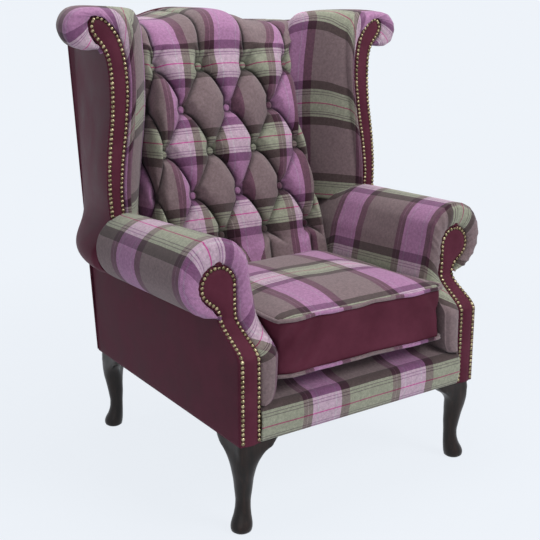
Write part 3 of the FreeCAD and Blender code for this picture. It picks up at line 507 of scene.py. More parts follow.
def buttoned_back():
    """The inside back and its top roll as one cloth, over a grid of rows up and columns across.

    Each column is a smooth curve up the back and over the roll, from which the points sink by how
    far the buttoning falls short of a full puff. At the sides the cloth turns back, by a quarter
    of a turn, into the fold beside the wing.
    """
    columns, rows, fine = 270, 400, 2000
    middle = columns // 2
    across = np.linspace(-1, 1, columns)
    high = shoulder + hump(across * 302.0)
    front = tuft_line(1004.0) - puff * 0.72
    stations = [(tuft_line(z) - puff, z) for z in (455.0, 600.0, 760.0, 900.0, 965.0)]
    stations += [(front - 1.0, 1024.0), (front + 9.0, high - 54.0), (front + 30.0, high - 26.0),
                 (front + 64.0, high - 9.0), (front + 110.0, high - 3.0),
                 (rear_line(high) - 44.0, high + 1.0), (rear_line(high) - 14.0, high - 1.0),
                 (rear_line(high) - 10.0, high - 12.0)]
    ctrl = np.array([np.stack(np.broadcast_arrays(y, z, across)[:2], 1) for y, z in stations])
    at_fine = np.linspace(0, len(ctrl) - 1, fine)
    dense = spline(ctrl[:, middle], at_fine)
    run = lengths(dense, 0)
    s = np.linspace(0, run[-1], rows)
    base = spline(ctrl, np.interp(s, run, at_fine))
    rising = slice(0, 1200)
    top_row_run = np.interp(top_row + 9.0, dense[rising, 1], run[rising])
    q = (top_row_run - s) / (row_drop / math.cos(rake))
    front_run, rise = base[:, middle, 0], base[:, middle, 1]
    end = np.interp(rise, [480, 650, 765, 890, 1022], [262.0, 253.0, 236.0, 222.0, 224.0])
    seam = np.interp(front_run, [600, 654, 700, 760, 824], [226.0, 245.0, 278.0, 300.0, 306.0])
    end = np.where(front_run > 600, np.maximum(seam, 224.0), end) + 10.0
    back_by = np.interp(rise, [480, 650, 765, 890, 1022, 1060], [112.0, 98.0, 86.0, 68.0, 45.0, 15.0])
    back_by = (back_by + 6.0) * (1 - smooth(front_run, 580, 640))
    turn_in = 34.0
    flat = end - turn_in
    bend = 0.5 * math.pi * np.sqrt((turn_in ** 2 + back_by ** 2) / 2)
    x = across[None, :] * (flat + bend)[:, None]
    theta = np.clip((np.abs(x) - flat[:, None]) / bend[:, None], 0, 1) * math.pi / 2
    side_x = np.sign(x) * np.where(theta > 0, flat[:, None] + turn_in * np.sin(theta), np.abs(x))
    recede = back_by[:, None] * (1 - np.cos(theta))
    height, u, v, pleat_shade = buttoned_height(x, np.repeat(q[:, None], columns, 1))
    along = np.gradient(base, axis=0)
    along /= np.linalg.norm(along, axis=2)[:, :, None]
    edge = smooth(s, run[-1] - 60, run[-1])[:, None]
    depth = (puff - height) * (1 - 0.7 * edge)
    y = base[:, :, 0] + along[:, :, 1] * depth + recede
    z = base[:, :, 1] - along[:, :, 0] * depth
    side_x = side_x - np.sign(x) * np.sin(theta) * depth * 0.6
    thing = sheet_piece("buttoned_back", np.stack([side_x, y, z], 2), np.stack([u, v], 2), tartan, 4.0,
                        (0.0, 900.0, 500.0), nodes=("inside_back", "back_crest_roll"))
    # Stores the painted shade of the folds and button rims on the cloth, for its material to darken.
    layer = thing.data.attributes.new("pleat_shade", "FLOAT", "POINT")
    layer.data.foreach_set("value", pleat_shade.astype(np.float32).ravel())
    return thing


def back_buttons():
    """Covered buttons: low domes turned to the back's rake, each a profile swept round a circle."""
    sides = 14
    profile = np.array([(9.2, -4.0), (9.6, 0.0), (8.8, 2.6), (6.4, 4.6), (3.2, 5.5), (0.01, 5.8)])
    a = np.arange(sides) * tau / sides
    aside, up = profile[:, :1] * np.cos(a), profile[:, :1] * np.sin(a)
    out = np.repeat(profile[:, 1:], sides, 1) - 0.5
    points, cloth = [], []
    for row in range(5):
        z = top_row - row * row_drop
        for share in ((-1.5, -0.5, 0.5, 1.5) if row % 2 == 0 else (-1.0, 0.0, 1.0)):
            points.append(np.stack([share * button_pitch + aside,
                                    tuft_line(z) + up * math.sin(rake) - out * math.cos(rake),
                                    z + up * math.cos(rake) + out * math.sin(rake)], 2).reshape(-1, 3))
            cloth.append(np.stack([cloth_centre + cloth_per_button * share + aside,
                                   cloth_per_row * row - up], 2).reshape(-1, 2))
    one = grid_faces(len(profile), sides, True)
    faces = np.concatenate([one + k * len(profile) * sides for k in range(len(points))])
    return piece("back_buttons", np.concatenate(points), faces, tartan, np.concatenate(cloth)[faces.ravel()],
                 nodes=tuple("button_row_%d" % k for k in range(1, 6)))


# Covered arms and wings: one skin from the facing's edge, round the front and along to the back

section_points = 150
body_row, wall_row = 45, 60


def fitted_skin(edge, body_section, depths, front, bulge, marks, seed, outward):
    """A grid from the facing's edge, row 0, out over the rounded front and back along the depths.

    Along each column the first five stations run from the edge's point to the section's own,
    easing out in front of the board and then turning back; the others are the section at each
    depth. Gathers move it along its normals by bell curves across the marks, which rise from the
    edge, run over the front and fade behind it. The second result is each row's station.
    """
    first = body_section(depths[0])
    lean = front(first[:, 1])
    upright = front(700.0)
    stations = []
    for share, forward in ((0.0, 7.0), (0.12, -1.0), (0.42, -bulge), (0.74, -bulge * 0.75), (0.93, 3.0)):
        at = lerp(edge, first, share)
        stations.append(np.stack([at[:, 0], lerp(front(edge[:, 1]), lean, share) + forward, at[:, 1]], 1))
    for depth in depths:
        at = body_section(depth)
        straight = smooth(depth, depths[0] + 20.0, depths[0] + 160.0)
        y = lerp(lean + depth - upright, depth, straight)
        stations.append(np.stack([at[:, 0], y, at[:, 1]], 1))
    t = np.r_[np.linspace(0, 6, 40), np.linspace(6, len(stations) - 1, 46)[1:]]
    points = spline(np.array(stations), t)
    normal = np.cross(np.gradient(points, axis=0), np.gradient(points, axis=1))
    normal /= np.maximum(np.linalg.norm(normal, axis=2), 1e-6)[:, :, None]
    turn = np.linspace(0, 1, points.shape[1])[None, :]
    rng = np.random.default_rng(seed)
    gather = np.zeros(points.shape[:2])
    for mark in marks:
        reach = rng.uniform(0.6, 1.0)
        deep = rng.uniform(2.6, 5.0)
        width = rng.uniform(0.006, 0.010)
        skew = rng.uniform(-0.004, 0.004)
        middle = mark + skew * np.minimum(t, 6)[:, None]
        rising = smooth(t, 0.2, 1.2) * (1 - smooth(t, 2.4 + reach, 4.6 + 2 * reach))
        gather += deep * np.exp(-((turn - middle) / width) ** 2) * rising[:, None]
    return points + normal * gather[:, :, None] * outward, t


def arm_front(z):
    """Depth of the arm's leaning front at a height: 0 low down, its set-back above the bend."""
    return arm_set_back * smooth(z, 398.0, 478.0)


def arm_section(depth):
    """Section of the arm at a depth: under the roll, round it, then down the inner face.

    The roll's centre and radius change evenly to the back. Behind the wing's front its outer
    side is slimmer, so that it stays inside the leather.
    """
    share = np.clip((depth - arm_set_back) / 488.0, 0, 1.2)
    cx, cz, r = lerp(354.0, 375.0, share), lerp(565.0, 571.0, share), lerp(86.0, 77.0, share)
    slim = 34.0 * smooth(depth, 446.0, 500.0)
    section = []
    for a in np.radians(np.arange(-96, 166, 12)):
        radius = r - slim * smooth(math.cos(a), -0.1, 0.4)
        section.append((cx + radius * math.cos(a), cz + radius * math.sin(a)))
    inner = [(268.0, 556.0), (262.0, 527.0), (256.0, 497.0), (251.0, 466.0), (250.0, 430.0),
             (250.0, 390.0), (252.0, 350.0), (256.0, 318.0), (268.0, 299.0), (284.0, 297.0)]
    section += [(x + lerp(0.0, 12.0, share), z) for x, z in inner]
    return curve(section, section_points)


def arm_edge():
    """Outer line of the arm's facing, from the waist round the scroll and down to the ledge."""
    angles = np.radians(np.arange(-38, 181, 12))
    head = [(scroll_x + 45.0 * math.cos(a), scroll_z + 45.0 * math.sin(a)) for a in angles]
    foot = [(352.0, 480.0), (362.0, 497.0), (374.0, 508.0)]
    down = [(304.0, 522.0), (303.0, 497.0), (301.0, 466.0), (299.0, 430.0)]
    down += [(front_border_half, z) for z in (390.0, 350.0, 320.0, 304.0, 296.0)]
    return curve(foot + head + down, section_points)


def matched(edge, edge_shares, section_shares):
    """The edge's points re-spaced so that its shares of length face the section's shares."""
    run = np.linspace(0, 1, len(edge))
    at = np.interp(run, section_shares, edge_shares)
    return np.stack([np.interp(at, run, edge[:, k]) for k in range(2)], 1)


def arm_cover(side):
    """The arm's cloth, with its stripes counted from the rear along and from the inner wall round."""
    depths = [86.0, 100.0, 130.0, 200.0, 300.0, 400.0, 440.0, 458.0, 500.0, 545.0, 590.0, 642.0]
    edge = matched(arm_edge(), (0.0, 0.20, 0.46, 0.60, 0.68, 1.0), (0.0, 0.27, 0.52, 0.62, 0.70, 1.0))
    marks = np.linspace(0.06, 0.60, 15)
    points = fitted_skin(edge, arm_section, depths, arm_front, 7.0, marks, 7 + side, 0.6)[0]
    round_run = lengths(points[body_row], 0)
    inner_height = 496.0
    inner_at = np.interp(-inner_height, -points[wall_row, 90:, 2], round_run[90:])
    crimson_height = 458.5 if side > 0 else 439.5
    drawn = 1.0 if side > 0 else 0.84
    v = inner_at - round_run
    v = np.where(v > 60.0, 60.0 + (v - 60.0) * drawn, v) + inner_height - crimson_height
    v = np.repeat(v[None, :], len(points), 0)
    along = lengths(points, 0)
    rear_u = 451.0 if side > 0 else 365.0
    u = (rear_u - points[body_row, :, 1]) * 1.07 - (along - along[body_row])
    rear_end = depths[-1] - 76.0 * smooth(points[:, :, 0], 290.0, 345.0)
    points[:, :, 1] = np.minimum(points[:, :, 1], rear_end)
    points[:, :, 0] *= side
    thing = sheet_piece(side_name(side) + "_arm_cover", points, np.stack([u, v], 2), tartan, 4.0,
                        (side * 350.0, 350.0, 540.0), nodes=(side_name(side) + "_arm_pad",))
    return thing


def side_name(side):
    """The word for a side, 1 or -1 along X, as seen from the front."""
    return "right" if side > 0 else "left"


wing_edge_points = [(368.0, 612.0), (369.0, 660.0), (370.0, 705.0), (363.0, 770.0), (354.0, 820.0),
                    (347.0, 870.0), (341.0, 930.0), (343.0, 985.0), (351.0, 1030.0), (364.0, 1062.0),
                    (384.0, 1087.0), (402.0, 1098.0), (418.0, 1100.0), (430.0, 1092.0), (434.0, 1078.0),
                    (431.0, 1058.0), (421.0, 1042.0), (408.0, 1030.0), (399.0, 1016.0)]


def wing_front_line(z):
    """Depth of the wing's board, which leans back a little as it rises."""
    return wing_front + 0.04 * (z - 636.0)


def wing_section(depth):
    """Section of the wing at a depth: up the inner face, over the roll and under it to the leather."""
    back = np.clip((depth - wing_front) / 162.0, 0, 1)
    far = np.clip((depth - 612.0) / 212.0, 0, 1)
    levels = (604.0, 660.0, 705.0, 770.0, 820.0, 870.0, 930.0, 985.0, 1030.0)
    near = (374.0, 375.0, 374.0, 367.0, 359.0, 352.0, 345.0, 341.0, 341.0)
    fold = (256.0, 250.0, 243.0, 236.0, 229.0, 224.0, 222.0, 223.0, 226.0)
    belly = 22.0 * math.sin(math.pi * back ** 0.55)
    inner = [(lerp(n, f, back) - belly + (45.0 + 35.0 * smooth(z, 800.0, 1000.0)) * far, z)
             for n, f, z in zip(near, fold, levels)]
    top = np.interp(depth, [450, 520, 580, 650, 700, 824], [1113, 1122, 1121, 1105, 1096, 1094])
    reach = np.interp(depth, [450, 500, 550, 600, 650, 700, 750, 824],
                      [492, 488, 474, 450, 420, 385, 352, 338])
    under = np.interp(depth, [450, 600, 700, 824], [1023, 1030, 1044, 1056])
    outer = np.interp(depth, [450, 824], [392, 322])
    start = inner[-1][0]
    half, middle = (top - under) / 2, (top + under) / 2
    head = reach - half * 1.05
    roll = [(start + 3.0, top - 48.0), (start + 12.0, top - 22.0), (min(start + 32.0, head - 8), top - 5.0),
            (lerp(start + 32.0, head, 0.55), top), (head + 6.0, top - 1.0),
            (head + half * 0.78, middle + half * 0.66), (reach, middle),
            (head + half * 0.72, middle - half * 0.72), (head, under),
            (lerp(head, outer, 0.6), under + 3.0), (outer - 2.0, under + 8.0)]
    return curve(inner + roll, section_points)


def wing_cover(side):
    """The wing's cloth: inner face, roll and gathered front, striped like the arm's.

    The last points of each row tuck in behind the board under the roll.
    """
    depths = [462.0, 474.0, 500.0, 540.0, 580.0, 612.0, 650.0, 700.0, 760.0, 822.0]
    edge = matched(curve(wing_edge_points, section_points),
                   (0.0, 0.52, 0.66, 0.78, 0.90, 1.0), (0.0, 0.50, 0.62, 0.76, 0.90, 1.0))
    points, t = fitted_skin(edge, wing_section, depths, wing_front_line, 6.0, np.linspace(0.66, 0.96, 9),
                            21 + side, -0.6)
    round_run = lengths(points[body_row], 0)
    crimson_height = 869.0 if side > 0 else 885.0
    at_crimson = np.interp(crimson_height, points[body_row, :80, 2], round_run[:80])
    v = np.repeat((round_run - at_crimson)[None, :], len(points), 0)
    along = lengths(points, 0)
    turn = np.linspace(0, 1, section_points)[None, :]
    u = 292.0 + 72.0 * smooth(turn, 0.56, 0.70) - (along - along[8])
    points[:, :, 1] += 13.0 * smooth(turn, 0.93, 0.99) * (1 - smooth(t, 4.0, 7.0))[:, None]
    points[:, :, 1] = np.minimum(points[:, :, 1], rear_line(points[:, :, 2]) - 14.0)
    points[:, :, 0] *= side
    thing = sheet_piece(side_name(side) + "_wing_cover", points, np.stack([u, v], 2), tartan, 4.0,
                        (side * 370.0, 600.0, 950.0), nodes=(side_name(side) + "_wing_pad",))
    return thing


# Nails

nail_inset, nail_pitch = 6.5, 10.6


def nails(name, path, facing):
    """Domed nail heads at equal steps along a path, each a profile swept round a normal."""
    spots = even(path, int(round(lengths(path, 0)[-1] / nail_pitch)) + 1)
    normal = facing(spots)
    normal /= np.linalg.norm(normal, axis=1)[:, None]
    side = np.cross(np.tile([[0.0, 0.0, 1.0]], (len(spots), 1)), normal)
    side /= np.linalg.norm(side, axis=1)[:, None]
    over = np.cross(normal, side)
    sides = 10
    a = np.arange(sides) * tau / sides
    profile = [(4.9, -1.0), (4.8, 0.6), (3.6, 2.4), (1.6, 3.3)]
    one = np.array([(r * math.cos(k), r * math.sin(k), h) for r, h in profile for k in a] + [(0, 0, 3.6)])
    last = (len(profile) - 1) * sides
    faces = grid_faces(len(profile), sides, True).tolist()
    faces += [(last + k, last + (k + 1) % sides, last + sides) for k in range(sides)]
    points = (spots[:, None] + one[None, :, :1] * side[:, None] + one[None, :, 1:2] * over[:, None]
              + one[None, :, 2:] * normal[:, None])
    every = [tuple(k + n * len(one) for k in face) for n in range(len(spots)) for face in faces]
    return piece(name, points.reshape(-1, 3), every, brass, slot="leather")


# Facings


def to_outline(points, outline):
    """Distance of each (x, z) point to the nearest point of an outline."""
    gap = points[..., None, :] - outline
    return np.sqrt(np.min(np.sum(gap ** 2, axis=-1), axis=-1))


def facing_rows(kind):
    """Pairs of outer and inner points up a facing, ending where the two meet over its head."""
    if kind == "arm_facing":
        pairs = [((front_half, z), (front_half - 54.0, z)) for z in (leg_height, 260.0, 310.0, 360.0, 400.0)]
        pairs += [((351.0, 432.0), (298.0, 432.0)), ((351.0, 462.0), (300.5, 460.0)),
                  ((353.5, 484.0), (302.5, 482.0)), ((361.0, 498.0), (303.5, 503.0)),
                  ((374.0, 508.0), (303.0, 522.0))]
        for turns in ((-32, 190), (-8, 176), (18, 158), (45, 136), (68, 113), (84, 96), (90, 90)):
            pairs.append([(scroll_x + 47.0 * math.cos(a), scroll_z + 47.0 * math.sin(a))
                          for a in np.radians(turns)])
        return np.array(pairs)
    inner = [(368, 628), (370, 668), (370, 705), (363, 770), (354, 820), (347, 870), (341, 930),
             (343, 985), (351, 1030), (364, 1062), (384, 1087), (402, 1098), (418, 1100), (429, 1093)]
    outer = [(409, 628), (411, 668), (412, 706), (409, 765), (402, 822), (394, 878), (391, 935),
             (393, 985), (400, 1015), (411, 1034), (423, 1048), (431, 1061), (434, 1076), (430, 1091)]
    return np.array(list(zip(outer, inner)), float)


def leather_facing(side, kind, front, crown):
    """A leather-covered board with its nails.

    The board is a grid of rows up its length, each row running from its outer edge to its inner
    edge. Its face is rounded off at the edge, drawn in along the nails and crowned between them,
    all by the distance to the outline.
    """
    name = "%s_%s" % (side_name(side), kind)
    pairs = facing_rows(kind)
    edges = spline(pairs, np.linspace(0, len(pairs) - 1, 190))
    outline = np.concatenate([edges[:, 0], edges[::-1, 1]])
    fine_outline = even(outline, 700)
    w = 0.5 - 0.5 * np.cos(np.linspace(0, math.pi, 27))
    plan = edges[:, None, 0] + (edges[:, None, 1] - edges[:, None, 0]) * w[None, :, None]
    inset = to_outline(plan, fine_outline)
    rounded = -4.5 * np.clip(1 - inset / 4.5, 0, 1) ** 2
    drawn_in = -1.3 * np.exp(-((inset - nail_inset) / 2.6) ** 2)
    rise = rounded + drawn_in + crown * smooth(inset, 8.0, 22.0)
    points = np.stack([plan[..., 0] * side, front(plan[..., 1]) - rise, plan[..., 1]], 2)
    sheet_piece(name + "_leather", points, None, leather, 10.0, (0.0, 900.0, 500.0), slot="leather",
                nodes=(name,))
    ahead = np.gradient(outline, axis=0)
    ahead /= np.maximum(np.linalg.norm(ahead, axis=1), 1e-6)[:, None]
    path = outline + nail_inset * np.stack([-ahead[:, 1], ahead[:, 0]], 1)
    path = path[to_outline(path, fine_outline) > nail_inset - 0.6]
    path = path[path[:, 1] > pairs[0, 0, 1] + nail_inset - 1.0]

    def facing(spots):
        """Normals of the board at its nails, from the slope of its front."""
        slope = (front(spots[:, 2] + 1) - front(spots[:, 2] - 1)) / 2
        return np.stack([np.zeros(len(spots)), -np.ones(len(spots)), slope], 1)

    nails(name + "_nails", np.stack([path[:, 0] * side, front(path[:, 1]), path[:, 1]], 1), facing)


# Leather outsides


def side_line(y):
    """Half width of the box of the seat, which tapers evenly towards the back."""
    return front_half - (front_half - rear_half) * y / base_depth


def outside_arm_leather(side):
    """The side below the roll: a plane a little padded, from the leaning front to the back."""
    low, high = leg_height, 497.0
    z, w = np.meshgrid(np.linspace(low, high, 70), np.linspace(0, 1, 90), indexing="ij")
    y = lerp(arm_front(z) + 1.0, rear_line(z) - 2.0, w)
    share = (z - low) / (high - low)
    swell = 3.0 * (np.clip(4 * w * (1 - w), 0, 1) * np.clip(4 * share * (1 - share), 0, 1)) ** 0.5
    x = side_line(y) + 0.6 + swell
    name = side_name(side) + "_outside_arm"
    return sheet_piece(name + "_leather", np.stack([x * side, y, z], 2), None, leather, 4.0,
                       (0.0, 400.0, 400.0), slot="leather", nodes=(name,))


def back_edge(z):
    """Half width of the outside back, which flares a little as it rises."""
    return rear_half + back_flare * (z - leg_height) / (shoulder - leg_height)


def outside_back_leather():
    """The outside back: a plane a little padded up to the camel hump, with a cord along its edge."""
    across = np.linspace(-1, 1, 160)
    w = np.linspace(0, 1, 150)[:, None]
    top = shoulder + hump(across * (rear_half + back_flare)) - 1.0
    z = lerp(leg_height + 2.0, top[None, :], w)
    x = across[None, :] * back_edge(z)
    swell = 3.0 * np.clip(1 - across[None, :] ** 4, 0, 1) * np.clip(4 * w * (1 - w), 0, 1) ** 0.5
    y = rear_line(z) + 0.5 + swell
    sheet_piece("outside_back_leather", np.stack([x, y, z], 2), None, leather, 4.0, (0.0, 300.0, 600.0),
                slot="leather", nodes=("outside_back",))
    rim = np.stack([x[-1], y[-1] - 1.5, z[-1]], 1)
    up = np.array([216.0, 500.0, 800.0, 1088.0])
    left = np.stack([-back_edge(up), rear_line(up) - 1.0, up], 1)
    right = left[::-1] * [-1, 1, 1]
    path = np.concatenate([even(left, 60), rim[3:-3], even(right, 60)])
    welt("outside_back_cord", even(path, 420), 3.2, leather, closed=False, slot="leather")


def outside_wing_leather(side):
    """The wing's outside: a skin from its front edge to the back, swelling over the arm's end.

    At each depth the section is a smooth curve down through the same stations, drawn from the
    line at the wing's front edge to the line at the outside back.
    """
    z = np.array([1046.0, 1016.0, 985.0, 935.0, 878.0, 820.0, 765.0, 706.0, 665.0, 640.0, 616.0, 594.0,
                  566.0, 538.0, 514.0, 499.0, 492.0, 488.0])
    near = np.array([398.0, 396.0, 393.0, 390.0, 393.0, 401.0, 408.0, 410.0, 408.0, 408.0, 418.0, 438.0,
                     453.5, 451.0, 434.0, 402.0, 365.0, 334.0])
    columns = 80
    t = np.linspace(0, len(z) - 1, 150)
    line_z, line_near = spline(z, t), spline(near, t)
    line_rear = back_edge(line_z) + 1.0
    over_arm = wing_front - 14.0 * smooth(-line_z, -640, -604) + 26.0 * smooth(-line_z, -600, -500)
    start = np.where(line_z > 640, wing_front_line(line_z) + 2.0, over_arm)
    drawn = 1.35 + 0.75 * np.exp(-((line_z[:, None] - 540.0) / 60.0) ** 2)
    w = np.linspace(0, 1, columns)[None, :]
    y = start[:, None] + (rear_line(line_z) - 1.0 - start)[:, None] * w
    depth = np.clip((y - wing_front) / 345.0, 0, 1)
    z = np.repeat(line_z[:, None], columns, 1)
    tuck = 8.0 * np.exp(-(w / 0.035) ** 2) * smooth(-z, -625.0, -590.0)
    x = lerp(line_near[:, None], line_rear[:, None], depth ** drawn) - tuck
    name = side_name(side) + "_outside_wing"
    return sheet_piece(name + "_leather", np.stack([x * side, y, z], 2), None, leather, 4.0,
                       (0.0, 600.0, 700.0), slot="leather", nodes=(name,))


# Seat


def front_border():
    """The covered front rail: its bulging face and the ledge that runs back under the cushion.

    One profile is carried across, with two slow waves in its depth above the lower edge.
    """
    columns, rows = 120, 80
    x = np.linspace(-front_border_half, front_border_half, columns)
    profile = [(14.0, 213.0), (4.0, 212.5), (-1.0, 216.0), (-5.5, 235.0), (-8.0, 258.0), (-5.5, 280.0),
               (-1.0, 290.0), (8.0, 295.5), (22.0, 297.5), (48.0, 301.0), (80.0, 314.0), (112.0, 329.0),
               (135.0, 333.0)]
    section = curve(profile, rows)
    run = lengths(section, 0)
    rising = slice(0, 36)
    crimson_run = np.interp(246.0, section[rising, 1], run[rising])
    wave = 0.8 * np.sin(x / 61.0) + 0.5 * np.sin(x / 23.0 + 1.0)
    y = section[:, :1] + wave[None, :] * smooth(run, 10, 40)[:, None]
    points = np.stack([np.repeat(x[None], rows, 0), y, np.repeat(section[:, 1:], columns, 1)], 2)
    cloth = np.stack([np.repeat(x[None] + 189.0, rows, 0),
                      np.repeat((run - crimson_run)[:, None], columns, 1)], 2)
    thing = sheet_piece("front_border_cover", points, cloth, tartan, 4.0, (0.0, 200.0, 230.0),
                        nodes=("front_border",))
    return thing


def deck_cover():
    """The lined deck under the cushion, a little crowned across and falling at its front."""
    front, rear = 118.0, 612.0
    x, y = np.meshgrid(np.linspace(-282, 282, 40), np.linspace(front, rear, 40))
    z = 330.0 + 6.0 * (1 - (x / 300) ** 4) * smooth(y, front, 200)
    return sheet_piece("deck_cover", np.stack([x, y, z], 2), None, lining, 3.0, (0.0, 300.0, 0.0),
                       slot="lining", nodes=("seat_deck",))


seam_low, seam_high = 346.0, 468.0
cushion_front, cushion_rear, cushion_half = 4.0, 480.0, 243.0


def cushion_outline(count, inset=0.0, draw=5.0, corner=34.0):
    """Rounded rectangle whose sides pull in between its corners, as (x, y) points."""
    half = cushion_half - inset
    low, high = cushion_front + inset, cushion_rear - inset
    mid = (low + high) / 2
    k = corner * (1 - math.sqrt(0.5))
    points = [(-half + corner, low), (0, low + draw), (half - corner, low), (half - k, low + k),
              (half, low + corner), (half - draw, mid), (half, high - corner), (half - k, high - k),
              (half - corner, high), (0, high - draw), (-half + corner, high), (-half + k, high - k),
              (-half, high - corner), (-half + draw, mid), (-half, low + corner), (-half + k, low + k),
              (-half + corner, low)]
    return curve(points, count + 1)[:-1]


def seat_cushion():
    """The loose cushion: a boxed form blown up as cloth, its seams held, its panels free."""
    count = 96
    levels = [(339.0, 16.0), (340.0, 8.0), (seam_low, 0.0), (seam_low + 30, 1.5), (407.0, 2.5),
              (seam_high - 30, 1.5), (seam_high, 0.0), (seam_high + 8.0, 8.0), (seam_high + 17.0, 36.0),
              (seam_high + 25.0, 82.0), (seam_high + 29.0, 140.0)]
    rings = [np.c_[cushion_outline(count, inset), np.full(count, z)] for z, inset in levels]
    points = np.concatenate(rings)
    mesh = bpy.data.meshes.new("seat_cushion_cover")
    mesh.from_pydata(metres(points).tolist(), [], grid_faces(len(rings), count, True).tolist())
    join(mesh, [range(count), range(len(points) - count, len(points))])
    thing = bpy.data.objects.new("seat_cushion_cover", mesh)
    bpy.context.scene.collection.objects.link(thing)
    bpy.context.view_layer.objects.active = thing
    thing.select_set(True)
    remesh = thing.modifiers.new("even", "REMESH")
    remesh.mode = "VOXEL"
    remesh.voxel_size = 0.0055
    bpy.ops.object.modifier_apply(modifier=remesh.name)
    inflate(thing)
    soften(thing.data)
    thing.data.materials.clear()
    thing.data.materials.append(tartan)
    thing.data.materials.append(leather)
    dress(thing.data)
    thing.data.polygons.foreach_set("use_smooth", [True] * len(thing.data.polygons))
    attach(thing, "cushion")
    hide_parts("seat_cushion")
    return thing


def coordinates(mesh):
    """The places of a mesh's vertices, one row each, in metres."""
    flat = np.empty(len(mesh.vertices) * 3)
    mesh.vertices.foreach_get("co", flat)
    return flat.reshape(-1, 3)


def own_millimetres(mesh):
    """The places of a mesh's vertices in this file's millimetres."""
    return coordinates(mesh) * 1000 - [0, front_face * 1000, 0]


def inflate(thing):
    """Cloth simulation with air pressure inside, pinned at both seams and under the cushion.

    Each vertex moves no further than the cap, and below the upper seam by less than half.
    """
    frames, cap = 20, 0.012
    mesh = thing.data
    start = coordinates(mesh)
    x, y, z = own_millimetres(mesh).T
    side = np.minimum(np.abs(np.abs(x) - cushion_half),
                      np.minimum(np.abs(y - cushion_front), np.abs(y - cushion_rear)))
    seam = np.minimum(np.abs(z - seam_low), np.abs(z - seam_high)) < 5
    hold = seam & (side < 16) | (z < seam_low - 1)
    group = thing.vertex_groups.new(name="seams")
    group.add(np.nonzero(hold)[0].tolist(), 1.0, "REPLACE")
    cloth = thing.modifiers.new("cloth", "CLOTH")
    cloth.settings.quality = 5
    cloth.settings.mass = 0.3
    cloth.settings.use_pressure = True
    cloth.settings.uniform_pressure_force = 4.0
    cloth.settings.vertex_group_mass = "seams"
    cloth.settings.effector_weights.gravity = 0
    cloth.settings.tension_stiffness = 40
    cloth.settings.bending_stiffness = 6
    scene = bpy.context.scene
    scene.frame_start, scene.frame_end = 1, frames
    for step in range(1, frames + 1):
        scene.frame_set(step)
    graph = bpy.context.evaluated_depsgraph_get()
    shift = coordinates(thing.evaluated_get(graph).data) - start
    thing.modifiers.remove(cloth)
    scene.frame_set(1)
    far = np.linalg.norm(shift, axis=1)[:, None]
    shift *= np.minimum(1, cap / np.maximum(far, 1e-9))
    share = np.where(z[:, None] > seam_high, 1.0, 0.45)
    mesh.vertices.foreach_set("co", (start + shift * share).ravel())
    mesh.update()


def soften(mesh):
    """Hollows at the sewn seams and pulls at the corners of the boxing, by distance to each."""
    at = own_millimetres(mesh)
    x, y, z = at.T
    centre = np.array([0.0, (cushion_front + cushion_rear) / 2])
    out = at[:, :2] - centre
    out /= np.maximum(np.linalg.norm(out, axis=1), 1e-6)[:, None]
    boxing = smooth(z, seam_low, seam_low + 12) * (1 - smooth(z, seam_high - 12, seam_high))
    for sx in (-1, 1):
        near = np.hypot(x - sx * (cushion_half - 30), y - (cushion_front + 20))
        pull = np.exp(-(near / 60) ** 2) * boxing
        wave = np.sin((z * 0.9 + sx * x) / 7.0) * 2.2 + np.sin((z + sx * 1.4 * x) / 15.0) * 3.0
        at[:, :2] += out * (pull * (wave - 2.0))[:, None] * (1.0 if sx < 0 else 0.55)
    dip = (np.exp(-((z - seam_high) / 4.5) ** 2) + np.exp(-((z - seam_low) / 4.5) ** 2)) * 1.2
    at[:, :2] -= out * dip[:, None]
    rest = 0.9 * np.sin(x / 37.0 + y / 61.0) + 0.7 * np.sin(x / 19.0 - y / 43.0 + 2.0)
    at[:, 2] += rest * smooth(z, seam_high + 6, seam_high + 20)
    mesh.vertices.foreach_set("co", metres(at).ravel())
    mesh.update()


def dress(mesh):
    """Leather on the boxing between the seams, cloth above and below, mapped by place."""
    at = own_millimetres(mesh)
    index = np.empty(len(mesh.loops), int)
    mesh.loops.foreach_get("vertex_index", index)
    centre = np.empty(len(mesh.polygons) * 3)
    mesh.polygons.foreach_get("center", centre)
    z = centre.reshape(-1, 3)[:, 2] * 1000
    boxing = (z > seam_low) & (z < seam_high + 1)
    mesh.polygons.foreach_set("material_index", boxing.astype(int))
    over = np.maximum(seam_high + 14 - at[:, 2], 0) * smooth(-at[:, 1], -40, 0)
    u = (at[:, 0] + 180.0) * 1.02
    v = at[:, 1] + 27.0 - over
    layer = mesh.uv_layers.new(name="cloth")
    layer.data.foreach_set("uv", (np.stack([u, v], 1)[index] / 1000).astype(np.float32).ravel())


def cushion_piping():
    """Self-covered cords along both seams of the cushion."""
    for name, z in (("cushion_piping_top", seam_high + 1.5), ("cushion_piping_bottom", seam_low - 1.5)):
        line = cushion_outline(260, -1.5)
        wave = 1.6 * np.sin(line[:, 0] / 31.0 + line[:, 1] / 47.0) + 0.8 * np.sin(line[:, 0] / 13.0)
        path = np.c_[line, z + wave * (1.0 if z > 400 else 0.4)]
        welt(name, path, 4.6, tartan, cloth=(line[:, 0] + 180.0, 60.0 + 0.3 * line[:, 1]), body="cushion")


# Legs


